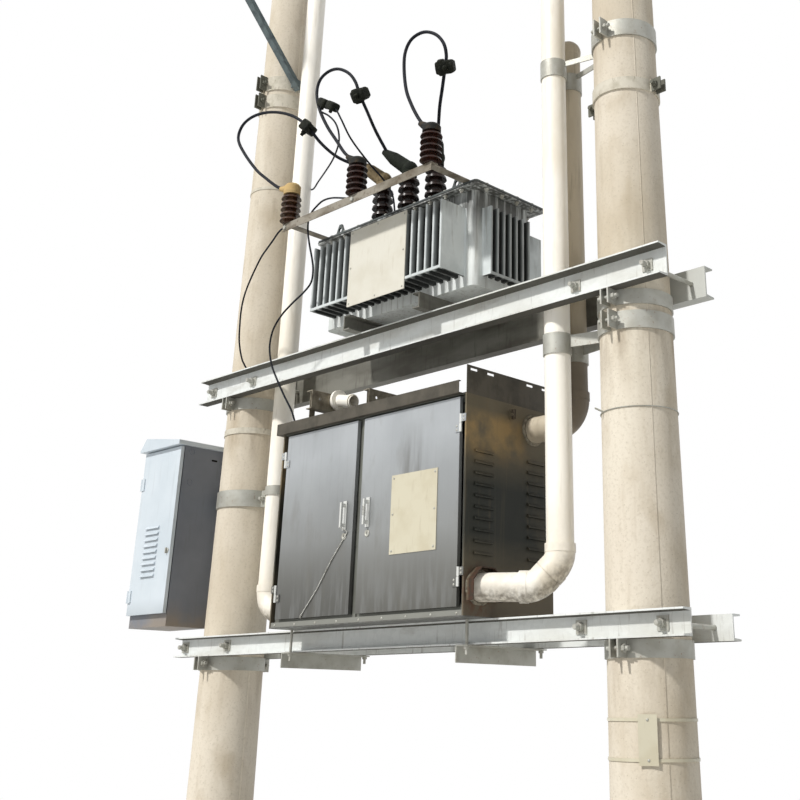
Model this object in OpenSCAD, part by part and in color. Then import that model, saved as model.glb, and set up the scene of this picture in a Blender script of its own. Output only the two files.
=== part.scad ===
// Two-pole transformer station: a small oil-filled transformer and a low-voltage
// cabinet carried on channel beams between two spun concrete poles.
// X runs along the beams from the left pole to the right pole, +Y points to the back, Z is up.
// The origin is the centre of the left pole's face at ground level.

/* [Poles] */
// Distance between the axes of the two poles
pole_spacing = 2500; // [2200:10:3000]
// Height of a pole above the ground
pole_height = 10000; // [9000:100:12000]
// Diameter at the tip
pole_tip_d = 190; // [150:10:230]
// Height over which the diameter grows by one millimetre
pole_taper = 75; // [60:5:100]

/* [Beams] */
// Length of every beam
beam_length = 3000; // [2900:10:3200]
// Top of the two upper beams above the ground
upper_top = 3212; // [3000:1:3600]
// Height of the upper channel
upper_h = 126; // [100:1:160]
// Flange width of the upper channel
upper_flange = 55; // [45:1:70]
// Left end of the upper beams
upper_x0 = -240; // [-300:5:-200]
// Top of the two lower beams above the ground
lower_top = 1915; // [1700:1:2100]
// Height of the lower channel
lower_h = 90; // [80:1:120]
// Flange width of the lower channel
lower_flange = 48; // [40:1:60]
// Left end of the lower beams
lower_x0 = -215; // [-300:5:-200]
// Thickness of a channel's web
web_t = 6; // [4:0.5:9]
// Mean thickness of a channel's flange
flange_t = 8; // [6:0.5:12]
// Distance of the tie bolts from a pole's axis
tie_bolt_x = 175; // [170:1:200]
// Diameter of the tie bolts
tie_bolt_d = 18; // [14:1:22]

/* [Cabinet] */
// Width of the low-voltage cabinet
cabinet_w = 1180; // [900:10:1400]
// Depth of the cabinet
cabinet_d = 510; // [450:10:600]
// Height of the cabinet without its roof
cabinet_h = 840; // [700:10:1000]
// Left side of the cabinet
cabinet_x0 = 730; // [600:5:800]
// Front face of the cabinet's frame
cabinet_y0 = -333; // [-400:1:-250]
// Thickness of the folded sheet walls
cabinet_wall = 4; // [3:0.5:8]
// Height of the sill under the doors
sill_h = 24; // [15:1:60]
// Gap between the sill and the doors
sill_gap = 12; // [5:1:20]
// Height of the header over the doors
header_h = 6; // [5:1:20]
// Width of the recessed front posts beside the doors
post_w = 32; // [28:1:50]
// Distance from the cabinet's left side to the line where the two doors meet
door_meet = 545; // [500:5:620]
// Thickness of a door leaf
door_t = 22; // [15:1:40]

/* [Transformer] */
// Left side of the tank
tank_x0 = 787; // [750:1:850]
// Length of the tank along the beams
tank_w = 1003; // [800:1:1200]
// Depth of the tank between its flat walls
tank_d = 360; // [300:1:500]
// Height of the tank up to the top of its rim
tank_h = 456; // [400:1:600]
// Height of the skids under the tank
skid_h = 70; // [50:1:100]
// Distance between the two skids
skid_gauge = 470; // [400:5:660]
// Reach of the deep fins in front and behind
deep_fin = 150; // [80:1:200]
// Reach of the shallow fins at the two ends
end_fin = 50; // [30:1:100]
// Height of the fins
fin_h = 320; // [200:1:340]
// Distance from fin to fin along the long sides
fin_pitch = 46; // [40:1:60]
// Distance from fin to fin on the ends
end_fin_pitch = 41; // [35:1:60]
// Number of fins on a long side
fin_count = 20; // [10:1:24]
// Number of fins on an end
end_fin_count = 7; // [4:1:9]
// Thickness of a fin
fin_t = 12; // [8:1:16]

/* [Conduits] */
// Outer diameter of the plastic conduits
pipe_d = 106; // [90:1:120]
// Wall of a conduit's socket, beyond the pipe
socket_t = 6; // [4:1:10]

/* [Small box] */
// Width of the small box
box_w = 340; // [260:5:400]
// Depth of the small box
box_d = 260; // [200:5:300]
// Height of the small box
box_h = 885; // [700:5:1000]
// Thickness of its sheet walls
box_wall = 4; // [3:0.5:8]

/* [Hidden] */

$fn = 48;
eps = 0.5;
// Radial play of everything that is clamped round a pole or a pipe
clamp_play = 0.3;

function pole_r(z) = (pole_tip_d + (pole_height - z) / pole_taper) / 2;
upper_z0 = upper_top - upper_h;
lower_z0 = lower_top - lower_h;
// The inner face of each web touches the pole at the beam's lower edge
upper_web_y = pole_r(upper_z0);
lower_web_y = pole_r(lower_z0);
pole_x = [0, pole_spacing];

cabinet_x1 = cabinet_x0 + cabinet_w;
cabinet_y1 = cabinet_y0 + cabinet_d;
cabinet_z0 = lower_top;
cabinet_z1 = cabinet_z0 + cabinet_h;
// Play round each door, and the wider gap between the two in front of the middle post
door_play = 5;
door_gap = 44;
door_meet_x = cabinet_x0 + door_meet;
door_z0 = cabinet_z0 + sill_h + sill_gap;
door_h = cabinet_h - sill_h - sill_gap - header_h - door_play;
left_door_x = cabinet_x0 + post_w + door_play;
right_door_x = cabinet_x1 - post_w - door_play;
left_door_w = door_meet_x - door_gap / 2 - left_door_x;
right_door_w = right_door_x - door_meet_x - door_gap / 2;
door_sheet = 3;

tank_z0 = upper_top + skid_h;
tank_z1 = tank_z0 + tank_h;
tank_cx = tank_x0 + tank_w / 2;
cover_t = 10;
rim_t = 8;
cover_out = 52;
cover_z1 = tank_z1 + cover_t;
fin_z0 = tank_z0 + 50;

// Where the front right conduit enters the cabinet's side
right_entry = [cabinet_x1, -250, 2022];

box_x1 = -190;
box_x0 = box_x1 - box_w;
box_y0 = -300;
box_y1 = box_y0 + box_d;
box_z0 = 1965;
box_z1 = box_z0 + box_h;
box_door_t = 18;
box_front = box_y0 + box_door_t + door_play;
// Height of the fixed panel under the small box's door
box_skirt = 60;

// A block from its lowest corner to its highest corner
module block(a, b) { translate(a) cube(b - a); }

// A round bar from point a along Y
module bar_y(x, y0, y1, z, d) {
    translate([x, y0, z]) rotate([-90, 0, 0]) cylinder(h = y1 - y0, d = d);
}

// A round bar from point a along X
module bar_x(x0, x1, y, z, d) {
    translate([x0, y, z]) rotate([0, 90, 0]) cylinder(h = x1 - x0, d = d);
}

// A hexagon nut whose axis runs along Y
module nut_y(x, y0, z, size, t) {
    translate([x, y0, z]) rotate([-90, 30, 0]) cylinder(h = t, d = size, $fn = 6);
}

// Profile of a rolled channel: web at u = 0, tapered flanges towards +u
module channel_profile(h, flange) {
    slope = 1.6;
    polygon([
        [0, 0], [flange, 0], [flange, flange_t - slope], [web_t, flange_t + slope],
        [web_t, h - flange_t - slope], [flange, h - flange_t + slope], [flange, h], [0, h],
    ]);
}

// A channel beam along X with holes for the tie bolts; side is -1 in front and 1 behind
module channel_beam(x0, z0, web_y, h, flange, side) {
    difference() {
        translate([x0, side * web_y, z0])
            mirror([0, side < 0 ? 1 : 0, 0])
                rotate([90, 0, 90]) linear_extrude(height = beam_length) channel_profile(h, flange);
        for (px = pole_x, s = [-1, 1])
            bar_y(px + s * tie_bolt_x, side * web_y - 40, side * web_y + 40, z0 + h / 2, tie_bolt_d + 2);
    }
}

// The beams behind are set a little further left than those in front
upper_back_shift = -20;
lower_back_shift = -33;
module upper_beam_front() {
    color("#b9bdb6") channel_beam(upper_x0, upper_z0, upper_web_y, upper_h, upper_flange, -1);
}
module upper_beam_back() {
    color("#b9bdb6")
        channel_beam(upper_x0 + upper_back_shift, upper_z0, upper_web_y, upper_h, upper_flange, 1);
}
module lower_beam_front() {
    color("#c4c7c2") channel_beam(lower_x0, lower_z0, lower_web_y, lower_h, lower_flange, -1);
}
module lower_beam_back() {
    color("#c4c7c2")
        channel_beam(lower_x0 + lower_back_shift, lower_z0, lower_web_y, lower_h, lower_flange, 1);
}

// A spun concrete pole
module pole(x) {
    translate([x, 0, 0]) cylinder(h = pole_height, r1 = pole_r(0), r2 = pole_r(pole_height), $fn = 96);
}
module pole_left() { color("#cfc3ad") pole(pole_x[0]); }
module pole_right() { color("#cfc3ad") pole(pole_x[1]); }

// One long bolt through a pair of beams, with square washers and nuts outside
module tie_bolt(x, z, web_y) {
    outer = web_y + web_t;
    washer = 48;
    washer_t = 5;
    nut_t = 16;
    bar_y(x, -outer - washer_t - nut_t - 22, outer + washer_t + nut_t + 22, z, tie_bolt_d);
    for (s = [-1, 1]) {
        y0 = s < 0 ? -outer - washer_t : outer;
        block([x - washer / 2, y0, z - washer / 2], [x + washer / 2, y0 + washer_t, z + washer / 2]);
        nut_y(x, s < 0 ? -outer - washer_t - nut_t : outer + washer_t, z, 32, nut_t);
    }
}
module tie_bolts(z, web_y) { for (px = pole_x, s = [-1, 1]) tie_bolt(px + s * tie_bolt_x, z, web_y); }
module upper_tie_bolts() { color("#8d8f8c") tie_bolts(upper_z0 + upper_h / 2, upper_web_y); }
module lower_tie_bolts() { color("#8d8f8c") tie_bolts(lower_z0 + lower_h / 2, lower_web_y); }

// A flat band round a pole, without ears
module band(x, z0, h, t) {
    r0 = pole_r(z0) + clamp_play;
    r1 = pole_r(z0 + h) + clamp_play;
    translate([x, 0, z0]) difference() {
        cylinder(h = h, r1 = r0 + t, r2 = r1 + t, $fn = 144);
        translate([0, 0, -eps]) cylinder(h = h + 2 * eps, r1 = r0 + eps / pole_taper, r2 = r1, $fn = 144);
    }
}

// A two-part hoop round a pole with bolted ears; turn is the direction of one pair of ears
hoop_t = 7;
module hoop(x, z0, h, turn, ear = 55) {
    split = 26;
    r0 = pole_r(z0) + clamp_play;
    r1 = pole_r(z0 + h) + clamp_play;
    bolt_out = split / 2 + hoop_t + 26;
    translate([x, 0, z0]) rotate([0, 0, turn]) {
        difference() {
            union() {
                cylinder(h = h, r1 = r0 + hoop_t, r2 = r1 + hoop_t);
                for (s = [-1, 1])
                    translate([s > 0 ? r1 - 4 : -r1 - ear, -split / 2 - hoop_t, 0])
                        cube([ear + 4, split + 2 * hoop_t, h]);
            }
            translate([0, 0, -eps])
                cylinder(h = h + 2 * eps, r1 = r0 + eps / pole_taper, r2 = r1, $fn = 96);
            translate([-r0 - ear - 2 * eps, -split / 2, -eps])
                cube([2 * (r0 + ear + 2 * eps), split, h + 2 * eps]);
        }
        for (s = [-1, 1]) translate([s * (r1 + ear / 2 + 2), 0, h / 2]) {
            bar_y(0, -bolt_out, bolt_out, 0, 16);
            nut_y(0, split / 2 + hoop_t, 0, 28, 13);
            nut_y(0, -split / 2 - hoop_t - 13, 0, 28, 13);
        }
    }
}
clamp_h = 60;
module upper_pole_clamps() {
    color("#a7a9a4") for (px = pole_x) hoop(px, upper_z0 - clamp_h, clamp_h, 90);
}
module lower_pole_clamps() {
    color("#a7a9a4") for (px = pole_x) hoop(px, lower_z0 - clamp_h, clamp_h, 90);
}

// The cabinet's walls are folded sheet panels
module cabinet_floor() {
    color("#6f7475")
        block([cabinet_x0, cabinet_y0, cabinet_z0], [cabinet_x1, cabinet_y1, cabinet_z0 + cabinet_wall]);
}

// A pressed louvre: a sloping hood that ends in a drip lip, closed at both ends and open below
louvre_out = 9;
louvre_rise = 14;
louvre_sheet = 1.6;
module louvre(length) {
    lip = 4;
    rotate([90, 0, 0]) linear_extrude(height = length, center = true) polygon([
        [0, louvre_rise], [louvre_out, lip], [louvre_out, 0], [louvre_out - louvre_sheet, 0],
        [louvre_out - louvre_sheet, lip - 0.6], [0, louvre_rise - 2.2],
    ]);
    for (s = [-1, 1]) translate([0, s * (length - louvre_sheet) / 2, 0])
        rotate([90, 0, 0]) linear_extrude(height = louvre_sheet, center = true)
            polygon([[0, 0], [louvre_out, 0], [louvre_out, lip], [0, louvre_rise]]);
}
louvre_count = 10;
louvre_pitch = 43;
louvre_len = 106;
louvre_inset = 102;
louvre_z = 222;

// A side wall with its outer face at x = 0, its front edge at y = 0 and its foot at z = 0
lip_w = 8;
frame_sheet = 3;
eye_z = 790;
module side_wall() {
    wall_h = cabinet_h - cabinet_wall;
    translate([-cabinet_wall, 0, 0]) cube([cabinet_wall, cabinet_d, wall_h]);
    translate([-lip_w, 0, 0]) cube([lip_w, frame_sheet, wall_h]);
    for (y = [louvre_inset, cabinet_d - louvre_inset], i = [0:louvre_count - 1])
        translate([0, y, louvre_z + i * louvre_pitch]) louvre(louvre_len);
    // Lifting eye
    translate([0, cabinet_d / 2 - 8, eye_z]) difference() {
        translate([0, 0, -20]) cube([30, 8, 40]);
        bar_y(17, -1, 9, 0, 16);
    }
}
module cabinet_left_wall() {
    color("#5b5c58")
        translate([cabinet_x0, cabinet_y0, cabinet_z0 + cabinet_wall]) mirror([1, 0, 0]) side_wall();
}
module cabinet_right_wall() {
    color("#5b5c58") translate([cabinet_x1, cabinet_y0, cabinet_z0 + cabinet_wall]) side_wall();
}
module cabinet_back_wall() {
    color("#6f7475") block(
        [cabinet_x0 + cabinet_wall, cabinet_y1 - cabinet_wall, cabinet_z0 + cabinet_wall],
        [cabinet_x1 - cabinet_wall, cabinet_y1, cabinet_z1]);
}

// Hinge halves: the axis runs in front of the gap beside a leaf, whose edge is at x = 0
hinge_r = 6;
hinge_len = 72;
hinge_x = -8;
hinge_y = -2;
hinge_strap_t = 4;
knuckle = 35;
function hinge_heights(h) = [70, h - 70 - hinge_len];
module leaf_hinges(h) {
    for (z = hinge_heights(h)) translate([hinge_x, hinge_y, z]) {
        cylinder(h = knuckle, r = hinge_r);
        translate([0, -hinge_strap_t / 2, 0]) cube([30, hinge_strap_t, knuckle - 3]);
    }
}
module post_hinges(h) {
    reach = post_w + door_play + hinge_x - 1;
    for (z = hinge_heights(h)) translate([hinge_x, hinge_y, z]) {
        translate([0, 0, knuckle + 1]) cylinder(h = knuckle, r = hinge_r);
        translate([-reach, -hinge_strap_t / 2, knuckle + 5]) cube([reach, hinge_strap_t, knuckle - 5]);
    }
}

// Folded sheet frame behind the door leaves: two side posts, a middle post, a sill and a header
post_return = 8;
middle_post_w = 64;
module frame_post(x, w, returns) {
    face = cabinet_y0 + door_t;
    block([x, face, cabinet_z0 + cabinet_wall], [x + w, face + frame_sheet, cabinet_z1]);
    for (rx = returns)
        block([x + rx, face, cabinet_z0 + cabinet_wall],
              [x + rx + frame_sheet, face + post_return, cabinet_z1]);
}
module cabinet_front_frame() {
    face = cabinet_y0 + door_t;
    side_w = post_w - cabinet_wall;
    color("#7b8082") {
        frame_post(cabinet_x0 + cabinet_wall, side_w, [side_w - frame_sheet]);
        frame_post(cabinet_x1 - post_w, side_w, [0]);
        frame_post(door_meet_x - middle_post_w / 2, middle_post_w, [0, middle_post_w - frame_sheet]);
        // Raised seal strip along the middle post
        block([door_meet_x - 7, face - 6, cabinet_z0 + sill_h],
              [door_meet_x + 7, face, cabinet_z1 - header_h]);
        // Sill with its folded shelf and the upstand that backs the gap under the leaves
        block([cabinet_x0 + lip_w, cabinet_y0 + 2, cabinet_z0 + cabinet_wall],
              [cabinet_x1 - lip_w, cabinet_y0 + 2 + frame_sheet, cabinet_z0 + sill_h]);
        block([cabinet_x0 + lip_w, cabinet_y0 + 2, cabinet_z0 + sill_h - frame_sheet],
              [cabinet_x1 - lip_w, face + post_return, cabinet_z0 + sill_h]);
        block([cabinet_x0 + lip_w, face, cabinet_z0 + sill_h - frame_sheet],
              [cabinet_x1 - lip_w, face + frame_sheet, cabinet_z0 + sill_h + sill_gap + 10]);
        // Header, a plain strip over the leaves with a face behind them
        block([cabinet_x0 + lip_w, cabinet_y0 + 2, cabinet_z1 - frame_sheet],
              [cabinet_x1 - lip_w, face + frame_sheet, cabinet_z1]);
        block([cabinet_x0 + lip_w, face, cabinet_z1 - 30],
              [cabinet_x1 - lip_w, face + frame_sheet, cabinet_z1]);
    }
}
module cabinet_hinges() {
    color("#d4d6d2") {
        translate([left_door_x, cabinet_y0, door_z0]) post_hinges(door_h);
        translate([right_door_x, cabinet_y0, door_z0]) mirror([1, 0, 0]) post_hinges(door_h);
    }
}

// Roof tray with folded fascias in front and behind, which stop short of the slotted upstand
roof_t = 3;
roof_out = 22;
roof_side_out = 28;
fascia_h = 51;
fascia_fold = 12;
fascia_stop = 25;
upstand_h = 115;
upstand_slots = [39, 136, 374, 471];
module roof_profile() {
    y0 = -roof_out;
    y1 = cabinet_d + roof_out;
    polygon([
        [y0, 0], [y1, 0], [y1, fascia_h], [y1 - fascia_fold, fascia_h],
        [y1 - fascia_fold, fascia_h - roof_t], [y1 - roof_t, fascia_h - roof_t], [y1 - roof_t, roof_t],
        [y0 + roof_t, roof_t], [y0 + roof_t, fascia_h - roof_t], [y0 + fascia_fold, fascia_h - roof_t],
        [y0 + fascia_fold, fascia_h], [y0, fascia_h],
    ]);
}
module cabinet_roof() {
    color("#8a8578") {
        translate([cabinet_x0 - roof_side_out, cabinet_y0, cabinet_z1])
            rotate([90, 0, 90])
                linear_extrude(height = cabinet_w + roof_side_out - fascia_stop) roof_profile();
        translate([cabinet_x1 - 2 * fascia_stop, cabinet_y0, cabinet_z1])
            cube([2 * fascia_stop, cabinet_d, roof_t]);
        translate([cabinet_x1 - roof_t, cabinet_y0, cabinet_z1]) difference() {
            cube([roof_t, cabinet_d, upstand_h]);
            for (y = upstand_slots)
                translate([-eps, y - 20, upstand_h - 20]) cube([roof_t + 2 * eps, 40, 10]);
        }
    }
}

// A door is a sheet pan, folded back round its four edges; its hinge edge is at x = 0
module door_leaf(w, h) {
    depth = door_t - door_play;
    difference() {
        cube([w, depth, h]);
        translate([door_sheet, door_sheet, door_sheet])
            cube([w - 2 * door_sheet, depth, h - 2 * door_sheet]);
    }
}
handle_z = 396;
handle_inset = 51;
module door_handle() {
    translate([-11, -5, -60]) cube([22, 5, 120]);
    for (z = [-48, 34]) translate([-5, -22, z]) cube([10, 17, 14]);
    translate([-5, -28, -52]) cube([10, 8, 104]);
}
module hinged_door(w) {
    door_leaf(w, door_h);
    translate([w - handle_inset, 0, handle_z]) door_handle();
    leaf_hinges(door_h);
}
module cabinet_door_left() {
    color("#868c8f") translate([left_door_x, cabinet_y0, door_z0]) hinged_door(left_door_w);
}
module cabinet_door_right() {
    color("#868c8f")
        translate([right_door_x, cabinet_y0, door_z0]) mirror([1, 0, 0]) hinged_door(right_door_w);
}

// Blank plate fixed to the right door
sign_w = 267;
sign_h = 313;
sign_corner = [1490, 2165];
module door_sign_plate() {
    color("#e4dfc6") block([sign_corner[0], cabinet_y0 - 3, sign_corner[1]],
                           [sign_corner[0] + sign_w, cabinet_y0, sign_corner[1] + sign_h]);
}

// Reach of the hood from the entry's centre to each side, the chamfer of its shoulders and its depth
hood_front = 70;
hood_back = 95;
hood_top = 72;
hood_leg = 50;
hood_shoulder = 46;
hood_out = 38;
hood_sheet = 3;
// An arch with chamfered shoulders, seen along X from the entry's centre
module hood_outline(inset) {
    y0 = -hood_front + inset;
    y1 = hood_back - inset;
    top = hood_top - inset;
    polygon([
        [y0, -hood_leg], [y1, -hood_leg], [y1, top - hood_shoulder],
        [y1 - hood_shoulder, top], [y0 + hood_shoulder, top], [y0, top - hood_shoulder],
    ]);
}
// Sheet hood over the hole where the front right conduit enters
module cable_hood() {
    color("#4d4a45") translate(right_entry) rotate([90, 0, 90]) linear_extrude(height = hood_out)
        difference() {
            hood_outline(0);
            translate([0, -eps]) hood_outline(hood_sheet);
        }
}

// Angles under the lower beams and long bolts that hold the cabinet down on them
hold_bolt_x = [cabinet_x0 + 5, cabinet_x1 - 98];
hold_bolt_d = 12;
hold_angle = 63;
hold_sheet = 5;
// Distance of a bolt from the angle's standing leg
hold_gauge = 45;
module cabinet_hold_down() {
    reach = lower_web_y + lower_flange + 30;
    nut_t = 10;
    color("#a7a9a4") for (x = hold_bolt_x) translate([x, 0, lower_z0]) {
        translate([-hold_gauge, -reach, -hold_sheet]) cube([hold_angle, 2 * reach, hold_sheet]);
        translate([-hold_gauge, -reach, -hold_angle]) cube([hold_sheet, 2 * reach, hold_angle]);
        for (s = [-1, 1]) translate([0, s * (reach - 15), 0]) {
            translate([0, 0, -35]) cylinder(h = lower_h + 35, d = hold_bolt_d);
            translate([0, 0, -hold_sheet - nut_t]) cylinder(h = nut_t, d = 22, $fn = 6);
        }
    }
}

// A rectangle with round corners, centred
module rounded_rect(w, d, r) {
    square([w - 2 * r, d], center = true);
    square([w, d - 2 * r], center = true);
    for (sx = [-1, 1], sy = [-1, 1]) translate([sx * (w / 2 - r), sy * (d / 2 - r)]) circle(r = r);
}

// Tank with rounded corners and the rim that the cover is bolted to
tank_corner = 30;
module rim_outline() { rounded_rect(tank_w + 2 * cover_out, tank_d + 2 * cover_out, 18); }
module transformer_tank() {
    color("#b4b9b9") translate([tank_cx, 0, 0]) {
        translate([0, 0, tank_z0])
            linear_extrude(height = tank_h) rounded_rect(tank_w, tank_d, tank_corner);
        translate([0, 0, tank_z1 - rim_t]) linear_extrude(height = rim_t) rim_outline();
    }
}

// Outline of one pleat of the corrugated wall: a narrow pocket with a round tip and a flared root
pleat_flare = 6;
module pleat_outline(reach) {
    translate([-fin_t / 2, 0]) square([fin_t, reach - fin_t / 2]);
    translate([0, reach - fin_t / 2]) circle(d = fin_t, $fn = 24);
    polygon([
        [-fin_t / 2 - pleat_flare, 0], [fin_t / 2 + pleat_flare, 0],
        [fin_t / 2, pleat_flare], [-fin_t / 2, pleat_flare],
    ]);
}
// A run of pleats standing out from the wall towards +y, with a bar across the lower ends of their tips
module pleated_wall(count, pitch, reach) {
    bar_h = 12;
    bar_t = 6;
    span = (count - 1) * pitch;
    linear_extrude(height = fin_h)
        for (i = [0:count - 1]) translate([i * pitch - span / 2, 0]) pleat_outline(reach);
    translate([-span / 2, reach - bar_t, 0]) cube([span, bar_t, bar_h]);
}
module front_fins() {
    color("#c3c8c8") translate([tank_cx, -tank_d / 2, fin_z0]) mirror([0, 1, 0])
        pleated_wall(fin_count, fin_pitch, deep_fin);
}
module back_fins() {
    color("#c3c8c8") translate([tank_cx, tank_d / 2, fin_z0])
        pleated_wall(fin_count, fin_pitch, deep_fin);
}
module end_fins() {
    color("#c3c8c8") for (side = [-1, 1]) translate([tank_cx + side * tank_w / 2, 0, fin_z0])
        rotate([0, 0, -side * 90]) pleated_wall(end_fin_count, end_fin_pitch, end_fin);
}

// Flat cover with four holed lifting lugs
lug_w = 70;
lug_h = 60;
module lifting_lug() {
    rotate([90, 0, 0]) linear_extrude(height = 10, center = true) difference() {
        polygon([[-lug_w / 2, 0], [lug_w / 2, 0], [9, lug_h], [-9, lug_h]]);
        translate([0, lug_h / 2]) circle(d = 24);
    }
}
module tank_cover() {
    color("#9aa0a0") translate([tank_cx, 0, tank_z1]) {
        linear_extrude(height = cover_t) rim_outline();
        for (sx = [-1, 1], sy = [-1, 1])
            translate([sx * (tank_w / 2 - 95), sy * (tank_d / 2 + 22), cover_t]) lifting_lug();
    }
}
// Two channels under the tank, which open towards each other
skid_half = 270;
skid_flange = 42;
skid_sheet = 6;
module skid_profile() {
    difference() {
        square([skid_flange, skid_h]);
        translate([skid_sheet, skid_sheet]) square([skid_flange, skid_h - 2 * skid_sheet]);
    }
}
module tank_skids() {
    color("#a3a79f") for (s = [-1, 1])
        translate([tank_cx + s * (skid_gauge + skid_flange) / 2, skid_half, upper_top])
            mirror([s > 0 ? 1 : 0, 0, 0])
                rotate([90, 0, 0]) linear_extrude(height = 2 * skid_half) skid_profile();
}

// A ribbed porcelain body standing on z = 0
module sheds(h, core_d, shed_d, count) {
    cylinder(h = h, d = core_d);
    pitch = h / count;
    for (i = [0:count - 1]) translate([0, 0, i * pitch + pitch * 0.2]) {
        cylinder(h = pitch * 0.3, d1 = shed_d, d2 = shed_d - 6);
        translate([0, 0, pitch * 0.3]) cylinder(h = pitch * 0.3, d1 = shed_d - 6, d2 = core_d);
    }
}
hv_pitch = 188;
hv_x = [for (i = [-1:1]) tank_cx - 20 + i * hv_pitch];
hv_y = -110;
hv_h = 230;
module hv_bushings() {
    color("#4a2c20") for (x = hv_x) translate([x, hv_y, cover_z1]) {
        cylinder(h = 20, d = 110);
        translate([0, 0, 20]) sheds(hv_h - 20, 60, 104, 5);
    }
}
// Rubber boots over the bushings' terminals; the first two lean over towards their leads
boot_neck = 42;
boot_d = 74;
boot_tilt = [50, 50, 0];
boot_heading = 203;
boot_len = [165, 185, 120];
function aim(tilt, heading) = [sin(tilt) * cos(heading), sin(tilt) * sin(heading), cos(tilt)];
function boot_root(i) = [hv_x[i], hv_y, cover_z1 + hv_h + boot_neck];
function boot_tip(i) = boot_root(i) + boot_len[i] * aim(boot_tilt[i], boot_heading);
module bushing_boots() {
    color("#23291f") for (i = [0:2]) translate(boot_root(i)) {
        translate([0, 0, -boot_neck]) cylinder(h = boot_neck, d = boot_d);
        sphere(d = boot_d + 8);
        rotate([0, boot_tilt[i], boot_heading]) {
            cylinder(h = boot_len[i] * 0.6, d1 = boot_d, d2 = boot_d - 8);
            translate([0, 0, boot_len[i] * 0.6])
                cylinder(h = boot_len[i] * 0.4, d1 = boot_d - 8, d2 = 32);
        }
    }
}
lv_x = [for (i = [0:3]) tank_cx - 225 + i * 150];
lv_y = 110;
module lv_bushings() {
    color("#5a3a2a") for (x = lv_x) translate([x, lv_y, cover_z1]) {
        cylinder(h = 15, d = 80);
        translate([0, 0, 15]) sheds(75, 45, 72, 2);
        translate([0, 0, 90]) cylinder(h = 50, d = 16);
    }
}
board_x0 = 1126;
board_w = 385;
board_z0 = 3288;
board_h = 372;
module rating_board() {
    y1 = -tank_d / 2 - deep_fin;
    color("#e6e2d4") block([board_x0, y1 - 4, board_z0], [board_x0 + board_w, y1, board_z0 + board_h]);
}

// Angle in front of the cover that carries the surge arresters, on two flat arms from the cover
frame_y = -450;
frame_half = 493;
angle_leg = 40;
angle_t = 4;
arm_t = 5;
frame_z = cover_z1 + arm_t + angle_t;
module arrester_frame() {
    x0 = tank_cx - frame_half - 25;
    x1 = tank_cx + frame_half + 25;
    y0 = frame_y - angle_leg / 2;
    color("#a9aca2") {
        block([x0, y0, frame_z - angle_t], [x1, y0 + angle_leg, frame_z]);
        block([x0, y0, frame_z - angle_leg], [x1, y0 + angle_t, frame_z]);
        for (s = [-1, 1]) translate([tank_cx + s * frame_half - 20, y0 + angle_t, cover_z1])
            cube([40, -tank_d / 2 - y0 - angle_t, arm_t]);
    }
}
arrester_x = [for (i = [-1:1]) tank_cx + i * frame_half];
arrester_z0 = frame_z;
arrester_foot = 8;
arrester_h = 146;
// A cap on each arrester, and a conical terminal that leans out of it to the left
cap_h = [56, 36, 36];
cap_d = 82;
terminal_tilt = [74, 52, 52];
terminal_heading = 188;
terminal_len = 84;
terminal_sunk = 24;
terminal_end = 24;
function terminal_root(i) = [
    arrester_x[i], frame_y, arrester_z0 + arrester_foot + arrester_h + cap_h[i] - terminal_sunk,
];
function terminal_tip(i) = terminal_root(i) + terminal_len * aim(terminal_tilt[i], terminal_heading);
module surge_arresters() {
    color("#5b3324") for (i = [0:2]) {
        translate([arrester_x[i], frame_y, arrester_z0]) {
            cylinder(h = arrester_foot, d = 60);
            translate([0, 0, arrester_foot]) {
                sheds(arrester_h, 56, 98, 5);
                translate([0, 0, arrester_h]) cylinder(h = cap_h[i] - 12, d = cap_d);
                translate([0, 0, arrester_h + cap_h[i] - 12])
                    cylinder(h = 12, d1 = cap_d, d2 = cap_d - 20);
            }
        }
        translate(terminal_root(i)) rotate([0, terminal_tilt[i], terminal_heading])
            cylinder(h = terminal_len, d1 = 54, d2 = terminal_end);
    }
}

// Leads from each arrester's terminal round a hanging loop, through a clamp and down into a boot.
// A loop reaches this far to the left of its arrester; its points are shares of that reach and heights
lead_d = 16;
lead_sides = 8;
lead_base_z = arrester_z0 + arrester_foot + arrester_h + 60;
loop_reach = [545, 380, 220];
loop_y = -448;
loop_shape = [[0.55, 190], [0.88, 320], [1, 430], [0.95, 520], [0.65, 560], [0.36, 470]];
lead_clamp = [[786, -380, 4314], [1174, -370, 4361], [1760, -360, 4287]];
function lead_route(i) = [
    terminal_tip(i),
    for (s = loop_shape) [
        arrester_x[i] - s[0] * loop_reach[i],
        loop_y + s[1] / 14,
        lead_base_z + s[1],
    ],
    lead_clamp[i],
    (lead_clamp[i] + boot_tip(i)) / 2 - [0, 10, 14],
    boot_tip(i),
];
function unit(v) = v / norm(v);
// A lead leaves its terminal along the terminal's axis and enters its boot along the boot's axis
function tangent(p, i, first, last) = i == 0 ? first : i == len(p) - 1 ? last : unit(p[i + 1] - p[i - 1]);
function ring(c, t, r, n) =
    let (u = unit(cross(t, abs(t[2]) > 0.9 ? [1, 0, 0] : [0, 0, 1])), w = cross(t, u))
    [for (k = [0:n - 1]) c + r * (cos(360 * k / n) * u + sin(360 * k / n) * w)];
module tube(p, d, n, first, last) {
    rings = [for (i = [0:len(p) - 1]) each ring(p[i], tangent(p, i, first, last), d / 2, n)];
    end = (len(p) - 1) * n;
    polyhedron(points = rings, faces = concat(
        [[for (k = [0:n - 1]) k]],
        [[for (k = [n - 1:-1:0]) end + k]],
        [for (i = [0:len(p) - 2], k = [0:n - 1])
            [i * n + k, (i + 1) * n + k, (i + 1) * n + (k + 1) % n, i * n + (k + 1) % n]]));
}
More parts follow.
